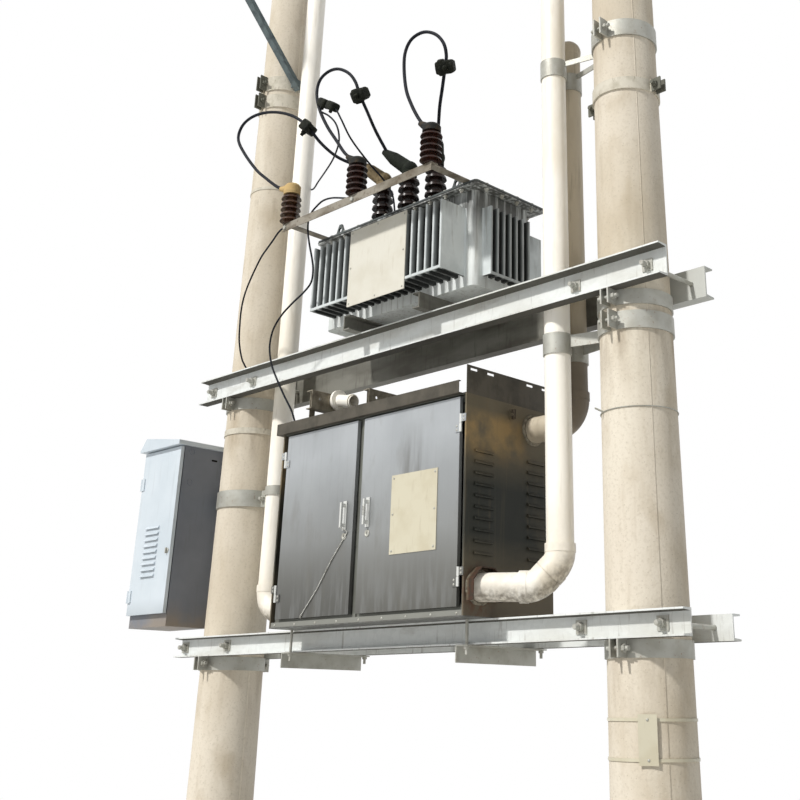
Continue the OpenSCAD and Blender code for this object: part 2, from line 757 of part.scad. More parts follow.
// Points of a smooth curve through the route's points
function smooth(p, steps) = [
    for (i = [0:len(p) - 2], s = [0:steps - 1])
        let (a = p[max(i - 1, 0)], b = p[i], c = p[i + 1], d = p[min(i + 2, len(p) - 1)], t = s / steps)
        0.5 * (2 * b + (c - a) * t + (2 * a - 5 * b + 4 * c - d) * t * t
            + (3 * b - a - 3 * c + d) * t * t * t),
    p[len(p) - 1],
];
module hv_leads() {
    color("#1d1d20") for (i = [0:2])
        tube(smooth(lead_route(i), 4), lead_d, lead_sides,
             aim(terminal_tilt[i], terminal_heading), -aim(boot_tilt[i], boot_heading));
}

// Where the left conduit stands
left_pipe = [250, 0];

// Thin earth leads, each as its points and the directions of its two ends. From the arresters' angle
// one hangs down to the cabinet's roof and one swings out to the left and down onto the front beam.
// From the second arrester's lead one runs down to the cover and one hangs across to the left conduit
earth_d = 9;
earth_sides = 6;
earth_z0 = frame_z - angle_leg;
earth_y = frame_y - angle_leg / 2 + angle_t / 2;
down = [0, 0, -1];
// Where the last lead meets the conduit, as an angle round it and a height
conduit_tie = [60, 4275];
conduit_side = [cos(conduit_tie[0]), sin(conduit_tie[0]), 0];
earth_routes = [
    [
        [
            [832, earth_y, earth_z0], [858, earth_y, earth_z0 - 120], [838, -400, 3440],
            [620, -355, 3372], [556, -350, 3290], [590, -350, 3150], [680, -335, 2960],
            [752, -300, 2850], [760, -290, cabinet_z1 + roof_t],
        ],
        down, down,
    ],
    [
        [
            [800, earth_y, earth_z0], [770, earth_y + 4, earth_z0 - 70], [620, -400, 3730],
            [430, -340, 3800], [330, -250, 3640], [306, -190, 3400],
            [306, -(upper_web_y + 25), upper_top],
        ],
        down, down,
    ],
    [
        [
            [917, -417, 4401], [985, -421, 4360], [1058, -425, 4310], [1106, -425, 4248],
            [1116, -360, 4142], [1114, -250, 4059], [1129, -155, 3997], [1160, -120, 3930],
            [1174, hv_y, 3850], [1174, hv_y, cover_z1],
        ],
        [1, 0, 0], down,
    ],
    [
        [
            [943, -422, 4330], [1034, -420, 4244], [1070, -408, 4186], [1050, -385, 4138],
            [985, -345, 4112], [826, -255, 4125], [575, -110, 4190], [400, 20, 4240], [312, 86, 4270],
            [left_pipe[0], left_pipe[1], conduit_tie[1]] + pipe_d / 2 * conduit_side,
        ],
        [0.87, 0, 0.49], -conduit_side,
    ],
];
module earth_leads() {
    color("#2a2b2c") for (route = earth_routes)
        tube(smooth(route[0], 4), earth_d, earth_sides, unit(route[1]), route[2]);
}

// The pieces of a conduit follow one another along local +X; each one places its children
// at its far end, so a run is written in the order in which it is fitted
bend_r = 95;
collar_l = 24;
collar_in = 8;
elbow_grow = 8;
module straight(length, d = pipe_d) {
    rotate([0, 90, 0]) cylinder(h = length, d = d);
    translate([length, 0, 0]) children();
}
// A socket's rim round the pipe from x0 to x1
module collar(x0, x1, d = pipe_d) {
    translate([x0, 0, 0]) rotate([0, 90, 0]) cylinder(h = x1 - x0, d = d + 2 * socket_t);
}
// An elbow with a socket at each end, turning towards local +Z
module bend(angle, d = pipe_d, r = bend_r) {
    collar(-collar_l, collar_in, d);
    translate([0, 0, r]) rotate([90, 0, 0]) rotate([0, 0, -90])
        rotate_extrude(angle = angle) translate([r, 0]) circle(d = d + elbow_grow);
    translate([r * sin(angle), 0, r * (1 - cos(angle))]) rotate([0, -angle, 0]) {
        collar(-collar_in, collar_l, d);
        children();
    }
}
// Turns the next bend's direction about the pipe's own axis
module roll(angle) { rotate([angle, 0, 0]) children(); }

conduit_top = 7200;
outlet_turn = 135;
left_entry_z = 2030;
module left_conduit() {
    run = cabinet_x0 - left_pipe[0] - bend_r;
    color("#e9e2cf") translate([cabinet_x0, left_pipe[1], left_entry_z]) rotate([0, 0, 180])
        straight(run) bend(90) straight(conduit_top - left_entry_z - bend_r) roll(90) bend(outlet_turn);
}
right_pipe = [2172, -86];
right_link = 50;
module right_conduit() {
    reach = norm([right_pipe[0] - right_entry[0], right_pipe[1] - right_entry[1]]);
    heading = atan2(right_pipe[1] - right_entry[1], right_pipe[0] - right_entry[0]);
    // Two elbows of half a right angle with a short link between them take up this much
    rise = bend_r + right_link * cos(45);
    // The pipe meets the wall at a slant, so it starts behind the wall and is cut off there
    start = 45;
    color("#ece6d4") difference() {
        translate(right_entry) rotate([0, 0, heading]) translate([-start, 0, 0])
            straight(start + reach - rise) bend(45) straight(right_link) bend(45)
                straight(conduit_top - right_entry[2] - rise) roll(90 - heading) bend(outlet_turn);
        block([cabinet_x1 - 120, right_entry[1] - 120, right_entry[2] - 90],
              [cabinet_x1, right_entry[1] + 120, right_entry[2] + 90]);
    }
}
back_pipe = [2140, 60];
back_entry_z = 2668;
back_pipe_top = 4390;
module back_conduit() {
    run = back_pipe[0] - cabinet_x1 - bend_r;
    color("#b9b4a8") translate([cabinet_x1, back_pipe[1], back_entry_z])
        straight(run) bend(90) straight(back_pipe_top - back_entry_z - bend_r)
            sphere(d = pipe_d + elbow_grow);
}

// A ring clamped round a pipe, on a flat arm from the hoop on the pole it stands beside
ring_t = 5;
module pipe_ring(z, h) {
    translate([0, 0, z]) difference() {
        cylinder(h = h, d = pipe_d + 2 * (clamp_play + ring_t));
        translate([0, 0, -eps]) cylinder(h = h + 2 * eps, d = pipe_d + 2 * clamp_play);
    }
}
module pipe_holder(pole, pipe, ring_z, ring_h, arm_z, arm_h) {
    d = [pipe[0] - pole, pipe[1]];
    reach = norm(d);
    inner = pole_r(arm_z) + clamp_play + hoop_t - 3;
    outer = reach - pipe_d / 2 - clamp_play - 2;
    translate([pole, 0, 0]) rotate([0, 0, atan2(d[1], d[0])]) {
        translate([reach, 0, 0]) pipe_ring(ring_z, ring_h);
        translate([inner, -3, arm_z]) cube([outer - inner, 6, arm_h]);
    }
}
lower_hoop_z = 2930;
upper_hoop_z = 4225;
module conduit_brackets() {
    color("#9c9e98") {
        hoop(pole_spacing, lower_hoop_z, 70, 90);
        hoop(pole_spacing, upper_hoop_z, 78, 90);
        for (pipe = [right_pipe, back_pipe]) {
            pipe_holder(pole_spacing, pipe, 2905, 85, lower_hoop_z + 5, 50);
            pipe_holder(pole_spacing, pipe, 4170, 85, upper_hoop_z + 3, 25);
        }
    }
}

// Short channel bearers along Y, on legs on the roof; each has its web's outer face and front end here
bearers = [[900, -320], [1115, -163]];
bearer_len = 182;
bearer_z = 2860;
bearer_h = 86;
bearer_flange = 40;
bearer_t = 4;
bearer_hole = [46, 50];
module roof_bearer() {
    leg = 30;
    floor_drop = bearer_z - cabinet_z1 - roof_t;
    difference() {
        translate([0, bearer_len, 0]) rotate([90, 0, 0]) linear_extrude(height = bearer_len) polygon([
            [0, 0], [-bearer_flange, 0], [-bearer_flange, bearer_t], [-bearer_t, bearer_t],
            [-bearer_t, bearer_h - bearer_t], [-bearer_flange, bearer_h - bearer_t],
            [-bearer_flange, bearer_h], [0, bearer_h],
        ]);
        bar_x(-bearer_t - 1, 1, bearer_hole[0], bearer_hole[1], 14);
    }
    for (y = [20, bearer_len - 20 - leg])
        translate([-bearer_flange, y, -floor_drop]) cube([bearer_t, leg, floor_drop + bearer_h - 1]);
}
module roof_bearers() {
    color("#6f6a5c") for (at = bearers) translate([at[0], at[1], bearer_z]) roof_bearer();
}
// Open plastic spout with a collar, on a short neck from the left bearer's web, drooping to the right
spout_y = 134;
spout_z = 54;
spout_d = 58;
spout_bore = 48;
spout_neck = 24;
spout_collar = 96;
collar_t = 14;
spout_len = 112;
spout_droop = 12;
module spout_tube(from_x, d, length) {
    translate([from_x, 0, 0]) rotate([0, 90 + spout_droop, 0]) cylinder(h = length, d = d);
}
module roof_spout() {
    color("#e6e0d0") translate([bearers[0][0], bearers[0][1] + spout_y, bearer_z + spout_z])
        difference() {
            union() {
                bar_x(0, spout_neck + 1, 0, 0, spout_d + 6);
                bar_x(spout_neck, spout_neck + collar_t, 0, 0, spout_collar);
                spout_tube(spout_neck + 4, spout_d, spout_len);
                difference() {
                    spout_tube(spout_neck + 4, spout_d + 10, spout_len - 8);
                    spout_tube(spout_neck - 30, spout_d + 30, spout_len + 12);
                }
            }
            spout_tube(spout_neck + 20, spout_bore, spout_len);
        }
}

// Small box on the outer side of the left pole
module small_box_body() {
    color("#8e9aa6") difference() {
        block([box_x0, box_front, box_z0], [box_x1, box_y1, box_z1]);
        block([box_x0 + box_wall, box_front + box_wall, box_z0 + box_wall],
              [box_x1 - box_wall, box_y1 - box_wall, box_z1 - box_wall]);
        block([box_x0 + box_wall, box_front - eps, box_z0 + box_skirt],
              [box_x1 - box_wall, box_front + box_wall + eps, box_z1 - box_wall]);
    }
}
module small_box_roof() {
    color("#dfe3e6") translate([0, box_y1 + 15, 0]) rotate([90, 0, 0]) linear_extrude(height = box_d + 40)
        polygon([
            [box_x0 - 20, box_z1], [box_x1 + 15, box_z1], [box_x1 + 15, box_z1 + 22],
            [box_x0 + 30, box_z1 + 70], [box_x0 - 20, box_z1 + 12],
        ]);
}
box_louvres = 9;
box_louvre_pitch = 29.5;
box_louvre_x = -374;
box_louvre_z = 2205;
module small_box_door() {
    door_z = box_z0 + box_skirt;
    h = box_h - box_skirt - 6;
    color("#dfe6ee") {
        translate([box_x0, box_y0, door_z]) difference() {
            cube([box_w, box_door_t, h]);
            translate([door_sheet, door_sheet, door_sheet])
                cube([box_w - 2 * door_sheet, box_door_t, h - 2 * door_sheet]);
        }
        for (i = [0:box_louvres - 1])
            translate([box_louvre_x, box_y0, box_louvre_z + i * box_louvre_pitch])
                rotate([0, 0, -90]) louvre(125);
        for (z = [box_z0 + 120, box_z1 - 200]) translate([box_x0, box_y0 - 4, z]) {
            cylinder(h = 60, r = hinge_r);
            translate([0, -2, 0]) cube([26, 6, 60]);
        }
    }
}

// Hoop on the left pole that carries the small box on one side and the left conduit on the other
box_hoop_z = 2530;
module small_box_bracket() {
    ear = 44;
    plate_y = 13;
    color("#8d8f8c") {
        hoop(0, box_hoop_z, 82, 0, ear);
        block([box_x1, plate_y, box_hoop_z - 40], [box_x1 + 6, plate_y + 60, box_hoop_z + 120]);
        block([box_x1, plate_y, box_hoop_z],
              [-pole_r(box_hoop_z) - 4, plate_y + hoop_t, box_hoop_z + 82]);
        translate(left_pipe) pipe_ring(2577, 45);
        block([pole_r(box_hoop_z) + 4, plate_y, 2580],
              [left_pipe[0] - pipe_d / 2 + 2, plate_y + hoop_t, 2610]);
    }
}

// Bands higher up the poles
module upper_bands() {
    color("#a7a9a4") {
        hoop(0, 4925, 90, 90);
        hoop(0, 4811, 85, 90);
        hoop(pole_spacing, 3965, 55, 0);
        band(0, 4285, 16, 3);
        band(0, 2900, 30, 4);
    }
}

// Crossarm of angle steel that reaches to the front, with one angle brace under it; both are seated
// on pads that are hollowed out to lie on the pole and on the hoop below
arm_z = 5700;
arm_front = 840;
arm_tail = 110;
arm_leg = 63;
// The outstanding legs are short, so that they clear the conduit beside the pole
arm_shelf = 46;
arm_sheet = 6;
pad_half = 45;
brace_z0 = 4940;
brace_head = 720;
brace_leg = 63;
arm_x0 = pole_r(brace_z0) + clamp_play + hoop_t + 8;
module curved_pad(z, h, seat_r, x1) {
    difference() {
        block([seat_r - 16, -pad_half, z], [x1, pad_half, z + h]);
        translate([0, 0, z - 1]) cylinder(h = h + 2, r = seat_r + clamp_play, $fn = 96);
    }
}
module crossarm() {
    color("#a9aca2") {
        translate([arm_x0 - arm_sheet, -arm_front, arm_z]) {
            cube([arm_sheet, arm_front + arm_tail, arm_leg]);
            translate([0, 0, arm_leg - arm_sheet]) cube([arm_shelf, arm_front + arm_tail, arm_sheet]);
        }
        curved_pad(arm_z, arm_leg, pole_r(arm_z), arm_x0 - arm_sheet + 1);
    }
}
module crossarm_brace() {
    rise = arm_z + 20 - brace_z0;
    length = norm([brace_head, rise]);
    color("#8f938c") {
        translate([arm_x0, 0, brace_z0]) rotate([atan2(brace_head, rise), 0, 0])
            translate([0, -brace_leg / 2, 0]) {
                cube([arm_sheet, brace_leg, length]);
                cube([arm_shelf - arm_sheet, arm_sheet, length]);
            }
        curved_pad(brace_z0 + 5, 60, pole_r(brace_z0) + hoop_t + clamp_play, arm_x0 + 1);
    }
}

// Blank number plate held on the right pole by two thin rings
plate_z = 1435;
plate_h = 155;
module pole_number_plate() {
    ring = 3;
    plate_x = pole_r(plate_z) + 6;
    color("#d8d2c0") {
        for (z = [1446, 1568]) {
            band(pole_spacing, z, 10, ring);
            translate([pole_spacing, 0, z]) rotate([0, 0, -60])
                translate([pole_r(z) + 1.5, -8, 0]) cube([plate_x - pole_r(z) - 1, 16, 10]);
        }
        translate([pole_spacing, 0, plate_z]) rotate([0, 0, -60])
            translate([plate_x, -32, 0]) cube([2, 64, plate_h]);
    }
}

pole_left();
pole_right();
upper_beam_front();
upper_beam_back();
lower_beam_front();
lower_beam_back();
upper_tie_bolts();
lower_tie_bolts();
upper_pole_clamps();
lower_pole_clamps();
cabinet_floor();
cabinet_left_wall();
cabinet_right_wall();
cabinet_back_wall();
cabinet_front_frame();
cabinet_hinges();
cabinet_roof();
cabinet_door_left();
cabinet_door_right();
door_sign_plate();
cable_hood();
roof_bearers();
roof_spout();
cabinet_hold_down();
transformer_tank();
front_fins();
back_fins();
end_fins();
tank_cover();
tank_skids();
hv_bushings();
bushing_boots();
lv_bushings();
rating_board();
arrester_frame();
surge_arresters();
hv_leads();
earth_leads();
left_conduit();
right_conduit();
back_conduit();
conduit_brackets();
small_box_body();
small_box_roof();
small_box_door();
small_box_bracket();
upper_bands();
crossarm();
crossarm_brace();
pole_number_plate();
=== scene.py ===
import math

import bmesh
import bpy
import numpy as np
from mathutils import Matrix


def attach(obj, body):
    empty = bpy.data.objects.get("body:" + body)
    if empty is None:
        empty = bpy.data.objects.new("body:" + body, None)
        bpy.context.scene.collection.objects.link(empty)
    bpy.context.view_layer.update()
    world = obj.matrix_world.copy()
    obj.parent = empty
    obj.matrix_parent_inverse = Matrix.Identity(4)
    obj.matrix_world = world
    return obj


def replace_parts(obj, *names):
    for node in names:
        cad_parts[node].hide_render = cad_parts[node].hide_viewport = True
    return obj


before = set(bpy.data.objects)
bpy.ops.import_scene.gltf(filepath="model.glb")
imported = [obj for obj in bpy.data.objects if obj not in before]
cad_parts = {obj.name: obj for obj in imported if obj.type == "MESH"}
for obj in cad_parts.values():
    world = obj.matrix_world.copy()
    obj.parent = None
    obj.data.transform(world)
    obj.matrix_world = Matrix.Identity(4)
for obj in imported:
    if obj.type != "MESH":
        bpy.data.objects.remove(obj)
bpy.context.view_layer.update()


# Poles
# Two tapered poles of spun concrete, cast in a split steel mould, so a fine ridge runs up
# each side where the mould halves met. Rain has drawn brown streaks down the cream skin.

pole_axis_x = (0.0, 2.5)
pole_height = 10.0
pole_tip_d = 0.190
pole_taper = 75
seam_turns = ((0, 180), (-35, 145))
seam_r = 0.0036
seam_sunk = 0.0020
seam_end = 0.001


def pole_radius(z):
    """Radius of a pole at a height: half the tip's width plus half its steady growth below it."""
    return (pole_tip_d + (pole_height - z) / pole_taper) / 2


def linear(code):
    """An sRGB hex colour as linear light, with full cover."""
    channels = [int(code[i:i + 2], 16) / 255 for i in (0, 2, 4)]
    return [c / 12.92 if c <= 0.04045 else ((c + 0.055) / 1.055) ** 2.4 for c in channels] + [1.0]


def link(source, target):
    """Joins a node's output to another node's input."""
    target.id_data.links.new(source, target)


def add(beside, kind, inputs=None, output=0, **settings):
    """Adds one shader node to the tree that another node or socket is in, sets its properties, fills or
    links its inputs, and returns one of its outputs."""
    made = beside.id_data.nodes.new("ShaderNode" + kind)
    for name, value in settings.items():
        setattr(made, name, value)
    for key, value in (inputs or {}).items():
        if isinstance(value, bpy.types.NodeSocket):
            link(value, made.inputs[key])
        else:
            made.inputs[key].default_value = value
    return made.outputs[output]


def new_finish(name, roughness, metallic=0.0, specular=0.5):
    """A new material, its shader with these constants, and its object coordinates."""
    made = bpy.data.materials.new(name)
    made.use_nodes = True
    shader = made.node_tree.nodes["Principled BSDF"]
    for key, value in (("Roughness", roughness), ("Metallic", metallic), ("Specular IOR Level", specular)):
        shader.inputs[key].default_value = value
    return made, shader, add(shader, "TexCoord", output="Object")


def patches(where, size, low, high, stretch=(1, 1, 1), detail=4.0):
    """Irregular patches of a real size in metres, from 0 below low to 1 above high."""
    scaled = add(where, "Mapping", {"Vector": where, "Scale": [1 / s for s in stretch]})
    noise = add(where, "TexNoise", {
        "Vector": scaled, "Scale": 1 / size, "Detail": detail, "Roughness": 0.55,
    })
    return add(where, "MapRange", {"Value": noise, "From Min": low, "From Max": high})


def ramp_along(where, axis, start, stop):
    """From 0 at start to 1 at stop along X, Y or Z, and steady beyond them."""
    place = add(where, "SeparateXYZ", {"Vector": where}, axis)
    return add(where, "MapRange", {"Value": place, "From Min": start, "From Max": stop})


def stained(base, masks, colour, strength=1.0):
    """The base colour with another colour laid over it, where its mask, or all of its masks, are high."""
    cover = strength
    for mask in masks if isinstance(masks, tuple) else (masks,):
        cover = add(mask, "Math", {0: mask, 1: cover}, operation="MULTIPLY")
    if isinstance(base, str):
        base = linear(base)
    return add(cover, "Mix", {"Factor": cover, "A": base, "B": linear(colour)}, "Result", data_type="RGBA")


def clouded(where, base, layers):
    """The base colour under patches of others. A layer is a colour, its strength, and what patches takes."""
    for colour, strength, *spread in layers:
        base = stained(base, patches(where, *spread), colour, strength)
    return base


def surfaced(shader, where, colour, grain=None, depth=None):
    """Gives a finish its colour and, where asked, a fine relief of a real grain and depth in metres."""
    link(colour, shader.inputs["Base Color"])
    if grain:
        relief = add(where, "Bump", {"Height": patches(where, grain, 0.3, 0.7), "Distance": depth})
        link(relief, shader.inputs["Normal"])


def weathered(name, shine, base, layers, *relief):
    """A finish of patches alone. Its shine is its roughness and, where they matter, how metallic and
    how specular it is; its relief is a grain and a depth."""
    made, shader, where = new_finish(name, *shine)
    surfaced(shader, where, clouded(where, base, layers), *relief)
    return made


def dressed(material, *nodes):
    """Gives CAD nodes this material in every slot."""
    for name in nodes:
        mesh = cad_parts[name].data
        mesh.materials.clear()
        mesh.materials.append(material)


def lattice(rows, columns):
    """Quads between neighbouring points of a grid whose last column joins its first."""
    row, column = np.meshgrid(np.arange(rows - 1), np.arange(columns), indexing="ij")
    beside = (column + 1) % columns
    return np.stack([
        row * columns + column, row * columns + beside,
        (row + 1) * columns + beside, (row + 1) * columns + column,
    ], axis=-1).reshape(-1, 4)


def tube(path, radius, sides=10, aside=(0, 0, 1)):
    """A round bar along a path, closed at both ends.
    Point = centre + r (cos a u + sin a v), with u and v square to the path's direction."""
    path = np.asarray(path, dtype=float)
    ahead = np.gradient(path, axis=0)
    ahead /= np.linalg.norm(ahead, axis=1, keepdims=True)
    u = np.cross(ahead, aside)
    u /= np.linalg.norm(u, axis=1, keepdims=True)
    v = np.cross(ahead, u)
    order = np.r_[0, np.arange(len(path)), len(path) - 1]
    reach = np.broadcast_to(radius, len(path))[order].copy()
    reach[[0, -1]] = 0.0
    angle = np.linspace(0, 2 * np.pi, sides, endpoint=False)[:, None]
    spokes = np.cos(angle) * u[order][:, None] + np.sin(angle) * v[order][:, None]
    points = path[order][:, None] + reach[:, None, None] * spokes
    return points.reshape(-1, 3), lattice(len(order), sides)


def joined(*shapes):
    """Several shapes as one: their points end to end, and their faces' numbers moved on to match."""
    starts = np.cumsum([0] + [len(points) for points, faces in shapes[:-1]])
    points = np.vstack([points for points, faces in shapes])
    faces = np.vstack([faces + start for (corners, faces), start in zip(shapes, starts)])
    return points, faces


def piece(name, shape, material, body="station", smooth=True):
    """A new piece from a shape's points and faces, closed and facing outwards, on a body."""
    points, faces = shape
    mesh = bpy.data.meshes.new(name)
    mesh.from_pydata(points.tolist(), [], faces.tolist())
    shell = bmesh.new()
    shell.from_mesh(mesh)
    bmesh.ops.remove_doubles(shell, verts=shell.verts, dist=1e-6)
    bmesh.ops.recalc_face_normals(shell, faces=shell.faces)
    shell.to_mesh(mesh)
    shell.free()
    mesh.polygons.foreach_set("use_smooth", [smooth] * len(mesh.polygons))
    mesh.materials.append(material)
    made = bpy.data.objects.new(name, mesh)
    bpy.context.scene.collection.objects.link(made)
    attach(made, body)
    return made


# Spun concrete, off-white cement paste with pin holes where air was trapped against the mould: a dull,
# cloudy cream with long drips. The pin holes are drawn 16 mm apart, coarser than real, so that they show
drip_tops = (1.765, 2.930, 3.020, 4.225)
drip_length = 0.26
drip_rise = 0.01
pin_spacing = 0.016
concrete, shader, where = new_finish("spun concrete", 0.9)
colour = clouded(where, "dbd2c2", [
    ("c6baa5", 1.0, 0.45, 0.42, 0.66, (1, 1, 2)),
    ("a3937a", 0.35, 0.05, 0.54, 0.80, (1, 1, 8)),
    ("e5dece", 0.6, 0.22, 0.52, 0.72, (1, 1, 4)),
    ("b0a085", 0.5, 0.16, 0.56, 0.74, (1, 1, 1.5)),
    ("b3a894", 0.35, 0.012, 0.50, 0.72),
])
for top in drip_tops:
    fades = ramp_along(where, "Z", top - drip_length, top)
    starts = ramp_along(where, "Z", top + drip_rise, top)
    drips = patches(where, 0.060, 0.48, 0.76, (1, 1, 5))
    colour = stained(colour, (fades, starts, drips), "7d6a52", 0.5)
pores = add(where, "TexVoronoi", {"Vector": where, "Scale": 1 / pin_spacing})
pin = add(where, "MapRange", {
    "Value": pores, "From Min": 0.10, "From Max": 0.16, "To Min": 1.0, "To Max": 0.0,
})
colour = stained(colour, pin, "7d705b", 0.28)
surfaced(shader, where, colour, 0.008, 0.0006)
dressed(concrete, "pole_left", "pole_right")

seams = []
for axis_x, turns in zip(pole_axis_x, seam_turns):
    for turn in np.radians(turns):
        height = np.array([seam_end, pole_height - seam_end])
        reach = pole_radius(height) - seam_sunk
        line = np.stack([axis_x + reach * math.cos(turn), reach * math.sin(turn), height], axis=-1)
        seams.append(tube(line, seam_r, 6, (1, 0, 0)))
piece("pole_mould_seams", joined(*seams), concrete)


# Channel beams and skids
# Four hot-rolled steel channels and the two under the tank, galvanised by dipping. Dust and brown
# water marks sit on the webs, and the zinc has dulled to a pale, soft grey.

# Zinc that has weathered keeps only part of its metal gleam; its spangle is drawn 18 mm wide. Every face
# that looks down is painted dark brown-grey and made duller there: painted shade on the flanges' undersides
spangle_size = 0.018
underside_shine_changes = (("Roughness", 0.55, 0.95), ("Metallic", 0.2, 0.0), ("Specular IOR Level", 0.5, 0.1))
galvanised, shader, where = new_finish("weathered galvanised steel", 0.55, 0.2)
spangle = add(where, "TexVoronoi", {"Vector": where, "Scale": 1 / spangle_size}, "Color")
shade = add(where, "MapRange", {"Value": spangle, "To Max": 0.35})
colour = stained("e3e6e4", shade, "c9cdcb")
colour = clouded(where, colour, [
    ("b9b6aa", 0.6, 0.30, 0.48, 0.72, (2, 1, 0.5)),
    ("8d8474", 0.5, 0.12, 0.60, 0.76, (2, 1, 0.6)),
    ("6e6453", 0.4, 0.016, 0.60, 0.72, (1, 1, 9)),
])
facing = add(where, "NewGeometry", output="Normal")
# Faces that look down get painted shade
under = ramp_along(facing, "Z", -0.5, -0.9)
colour = stained(colour, under, "45423a", 0.92)
surfaced(shader, where, colour, 0.004, 0.0003)
for socket, lit_value, shaded_value in underside_shine_changes:
    shift = add(where, "MapRange", {"Value": under, "To Min": lit_value, "To Max": shaded_value})
    link(shift, shader.inputs[socket])
dressed(galvanised, "upper_beam_front", "lower_beam_front", "lower_beam_back", "crossarm")

# Under the tank, the back channel and the skids are painted a dull brown-grey, mottled like grime: painted
# shade cast by the tank, which ends before the channel's right end
tank_shade_ends_x = (2.20, 2.40)
tank_shaded_zinc, shader, where = new_finish("galvanised steel in painted tank shade", 0.6, 0.15)
colour = clouded(where, "7b7a72", [
    ("57544b", 0.9, 0.20, 0.42, 0.66, (2, 1, 0.6)),
    ("3f3b33", 0.5, 0.016, 0.56, 0.72, (1, 1, 9)),
])
colour = stained(colour, ramp_along(where, "X", *tank_shade_ends_x), "c9cbc6", 0.85)
surfaced(shader, where, colour, 0.004, 0.0003)
dressed(tank_shaded_zinc, "upper_beam_back", "tank_skids")

# The brace is painted a dark blue-grey and nearly matt: painted shade on its underside, which is seen from
# below
shaded_brace_zinc = weathered("brace zinc in painted shade", (0.7, 0.2), "6f7c7e", [
    ("475055", 0.9, 0.06, 0.42, 0.66),
    ("5c4a38", 0.5, 0.015, 0.60, 0.74),
], 0.004, 0.0003)
dressed(shaded_brace_zinc, "crossarm_brace")


# Bolts, hoops and bands
# Round bars and flat bands, bent cold and galvanised. The cut threads of the long bolts stand out of their
# nuts, and rust has started on the hoops.

bolt_offset = 0.175
bolt_r = 0.009
bolt_z = (3.149, 1.870)
# Where the bare end of a bolt starts outside its nut, for the upper and the lower beams
bolt_bare_y = (0.1677, 0.1761)
bare_length = 0.022
thread_pitch = 0.0025
thread_rise = (0.0002, 0.0011)
tip_r = bolt_r - 0.002
tip_y = bare_length + 0.001


def turned(profile, sides=12):
    """A round shape about its own z: each (radius, height) of the profile taken through a full turn."""
    radius, height = np.asarray(profile, dtype=float).T
    angle = np.linspace(0, 2 * np.pi, sides, endpoint=False)
    points = np.stack([
        np.outer(radius, np.cos(angle)), np.outer(radius, np.sin(angle)),
        np.repeat(height[:, None], sides, axis=1),
    ], axis=-1)
    return points.reshape(-1, 3), lattice(len(radius), sides)


def stamped(shape, places, axis, up=(0, 0, 1)):
    """Copies of a shape at several places, each turned so that its own z lies along the axis.
    Its x then lies along up × axis, and its y along axis × x."""
    z = np.asarray(axis, dtype=float) / np.linalg.norm(axis)
    x = np.cross(up, z)
    x /= np.linalg.norm(x)
    turn = np.stack([x, np.cross(z, x), z])
    points, faces = shape
    return joined(*[(points @ turn + place, faces) for place in np.asarray(places, dtype=float)])


# Zinc that has gone grey, with brown streaks and rust spots about a centimetre wide
fittings = weathered("galvanised fittings", (0.5, 0.35), "b3b3ab", [
    ("8f8b7e", 0.6, 0.07, 0.42, 0.70),
    ("7a5236", 0.6, 0.012, 0.62, 0.75),
], 0.003, 0.0003)
dressed(fittings, "upper_tie_bolts", "lower_tie_bolts", "upper_pole_clamps", "lower_pole_clamps",
        "conduit_brackets", "small_box_bracket", "cabinet_hold_down")

# The bands at the top were splashed with lime wash, and their lugs and bolts, which reach further out,
# have gone green-black
band_reach = pole_radius(0) + 0.010
limed, shader, where = new_finish("lime-washed band", 0.75, 0.1)
colour = clouded(where, "cfc9ba", [
    ("aaa491", 0.7, 0.05, 0.44, 0.68),
    ("6f6048", 0.6, 0.014, 0.60, 0.74, (1, 1, 3)),
])
height = add(where, "SeparateXYZ", {"Vector": where}, "Z")
lean = add(where, "Math", {0: height, 1: 1 / (2 * pole_taper)}, operation="MULTIPLY")
reaches = []
for axis_x in pole_axis_x:
    centred = add(where, "VectorMath", {0: where, 1: (axis_x, 0, 0)}, operation="SUBTRACT")
    flat = add(where, "VectorMath", {0: centred, 1: (1, 1, 0)}, operation="MULTIPLY")
    reaches.append(add(where, "VectorMath", {0: flat}, "Value", operation="LENGTH"))
nearest = add(where, "Math", {0: reaches[0], 1: reaches[1]}, operation="MINIMUM")
upright = add(where, "Math", {0: nearest, 1: lean}, operation="ADD")
lugs = add(where, "MapRange", {
    "Value": upright, "From Min": band_reach, "From Max": band_reach + 0.002,
})
colour = stained(colour, lugs, "3f4339", 0.85)
surfaced(shader, where, colour, 0.004, 0.0004)
dressed(limed, "upper_bands")

turns = int(bare_length / thread_pitch)
crest = bolt_r + np.tile(thread_rise, turns)
along = np.arange(2 * turns) * thread_pitch / 2
thread = turned([(0, 0), *zip(crest, along), (tip_r, tip_y), (0, tip_y)])
threads = []
for z, bare_y in zip(bolt_z, bolt_bare_y):
    for side in (-1, 1):
        ends = [(x + s * bolt_offset, side * bare_y, z) for x in pole_axis_x for s in (-1, 1)]
        threads.append(stamped(thread, ends, (0, side, 0)))
piece("tie_bolt_threads", joined(*threads), fittings, smooth=False)

# A turn of soft iron wire with a twisted tail, left on the right pole
wire_r = 0.0022
wire_z = 2.63
wire_tail = math.radians(240)
tail_length = 0.034
tail_lift = 0.35
tail_twists = 3
ring_r = pole_radius(wire_z) + wire_r
angle = np.linspace(0, 2 * np.pi, 73)
hoop_line = np.stack([
    pole_axis_x[1] + ring_r * np.cos(angle), ring_r * np.sin(angle), np.full_like(angle, wire_z),
], axis=-1)
out = np.array([math.cos(wire_tail), math.sin(wire_tail), tail_lift])
beside = np.array([-math.sin(wire_tail), math.cos(wire_tail), 0.0])
share = np.linspace(0, 1, 25)[:, None]
turn = 2 * np.pi * tail_twists * share
root = np.array([pole_axis_x[1], 0, wire_z]) + ring_r * out * (1, 1, 0)
tails = [
    tube(root + tail_length * share * out
         + side * wire_r * (np.cos(turn) * beside + np.sin(turn) * np.array([0, 0, 1.0])), wire_r, 6)
    for side in (-1, 1)
]
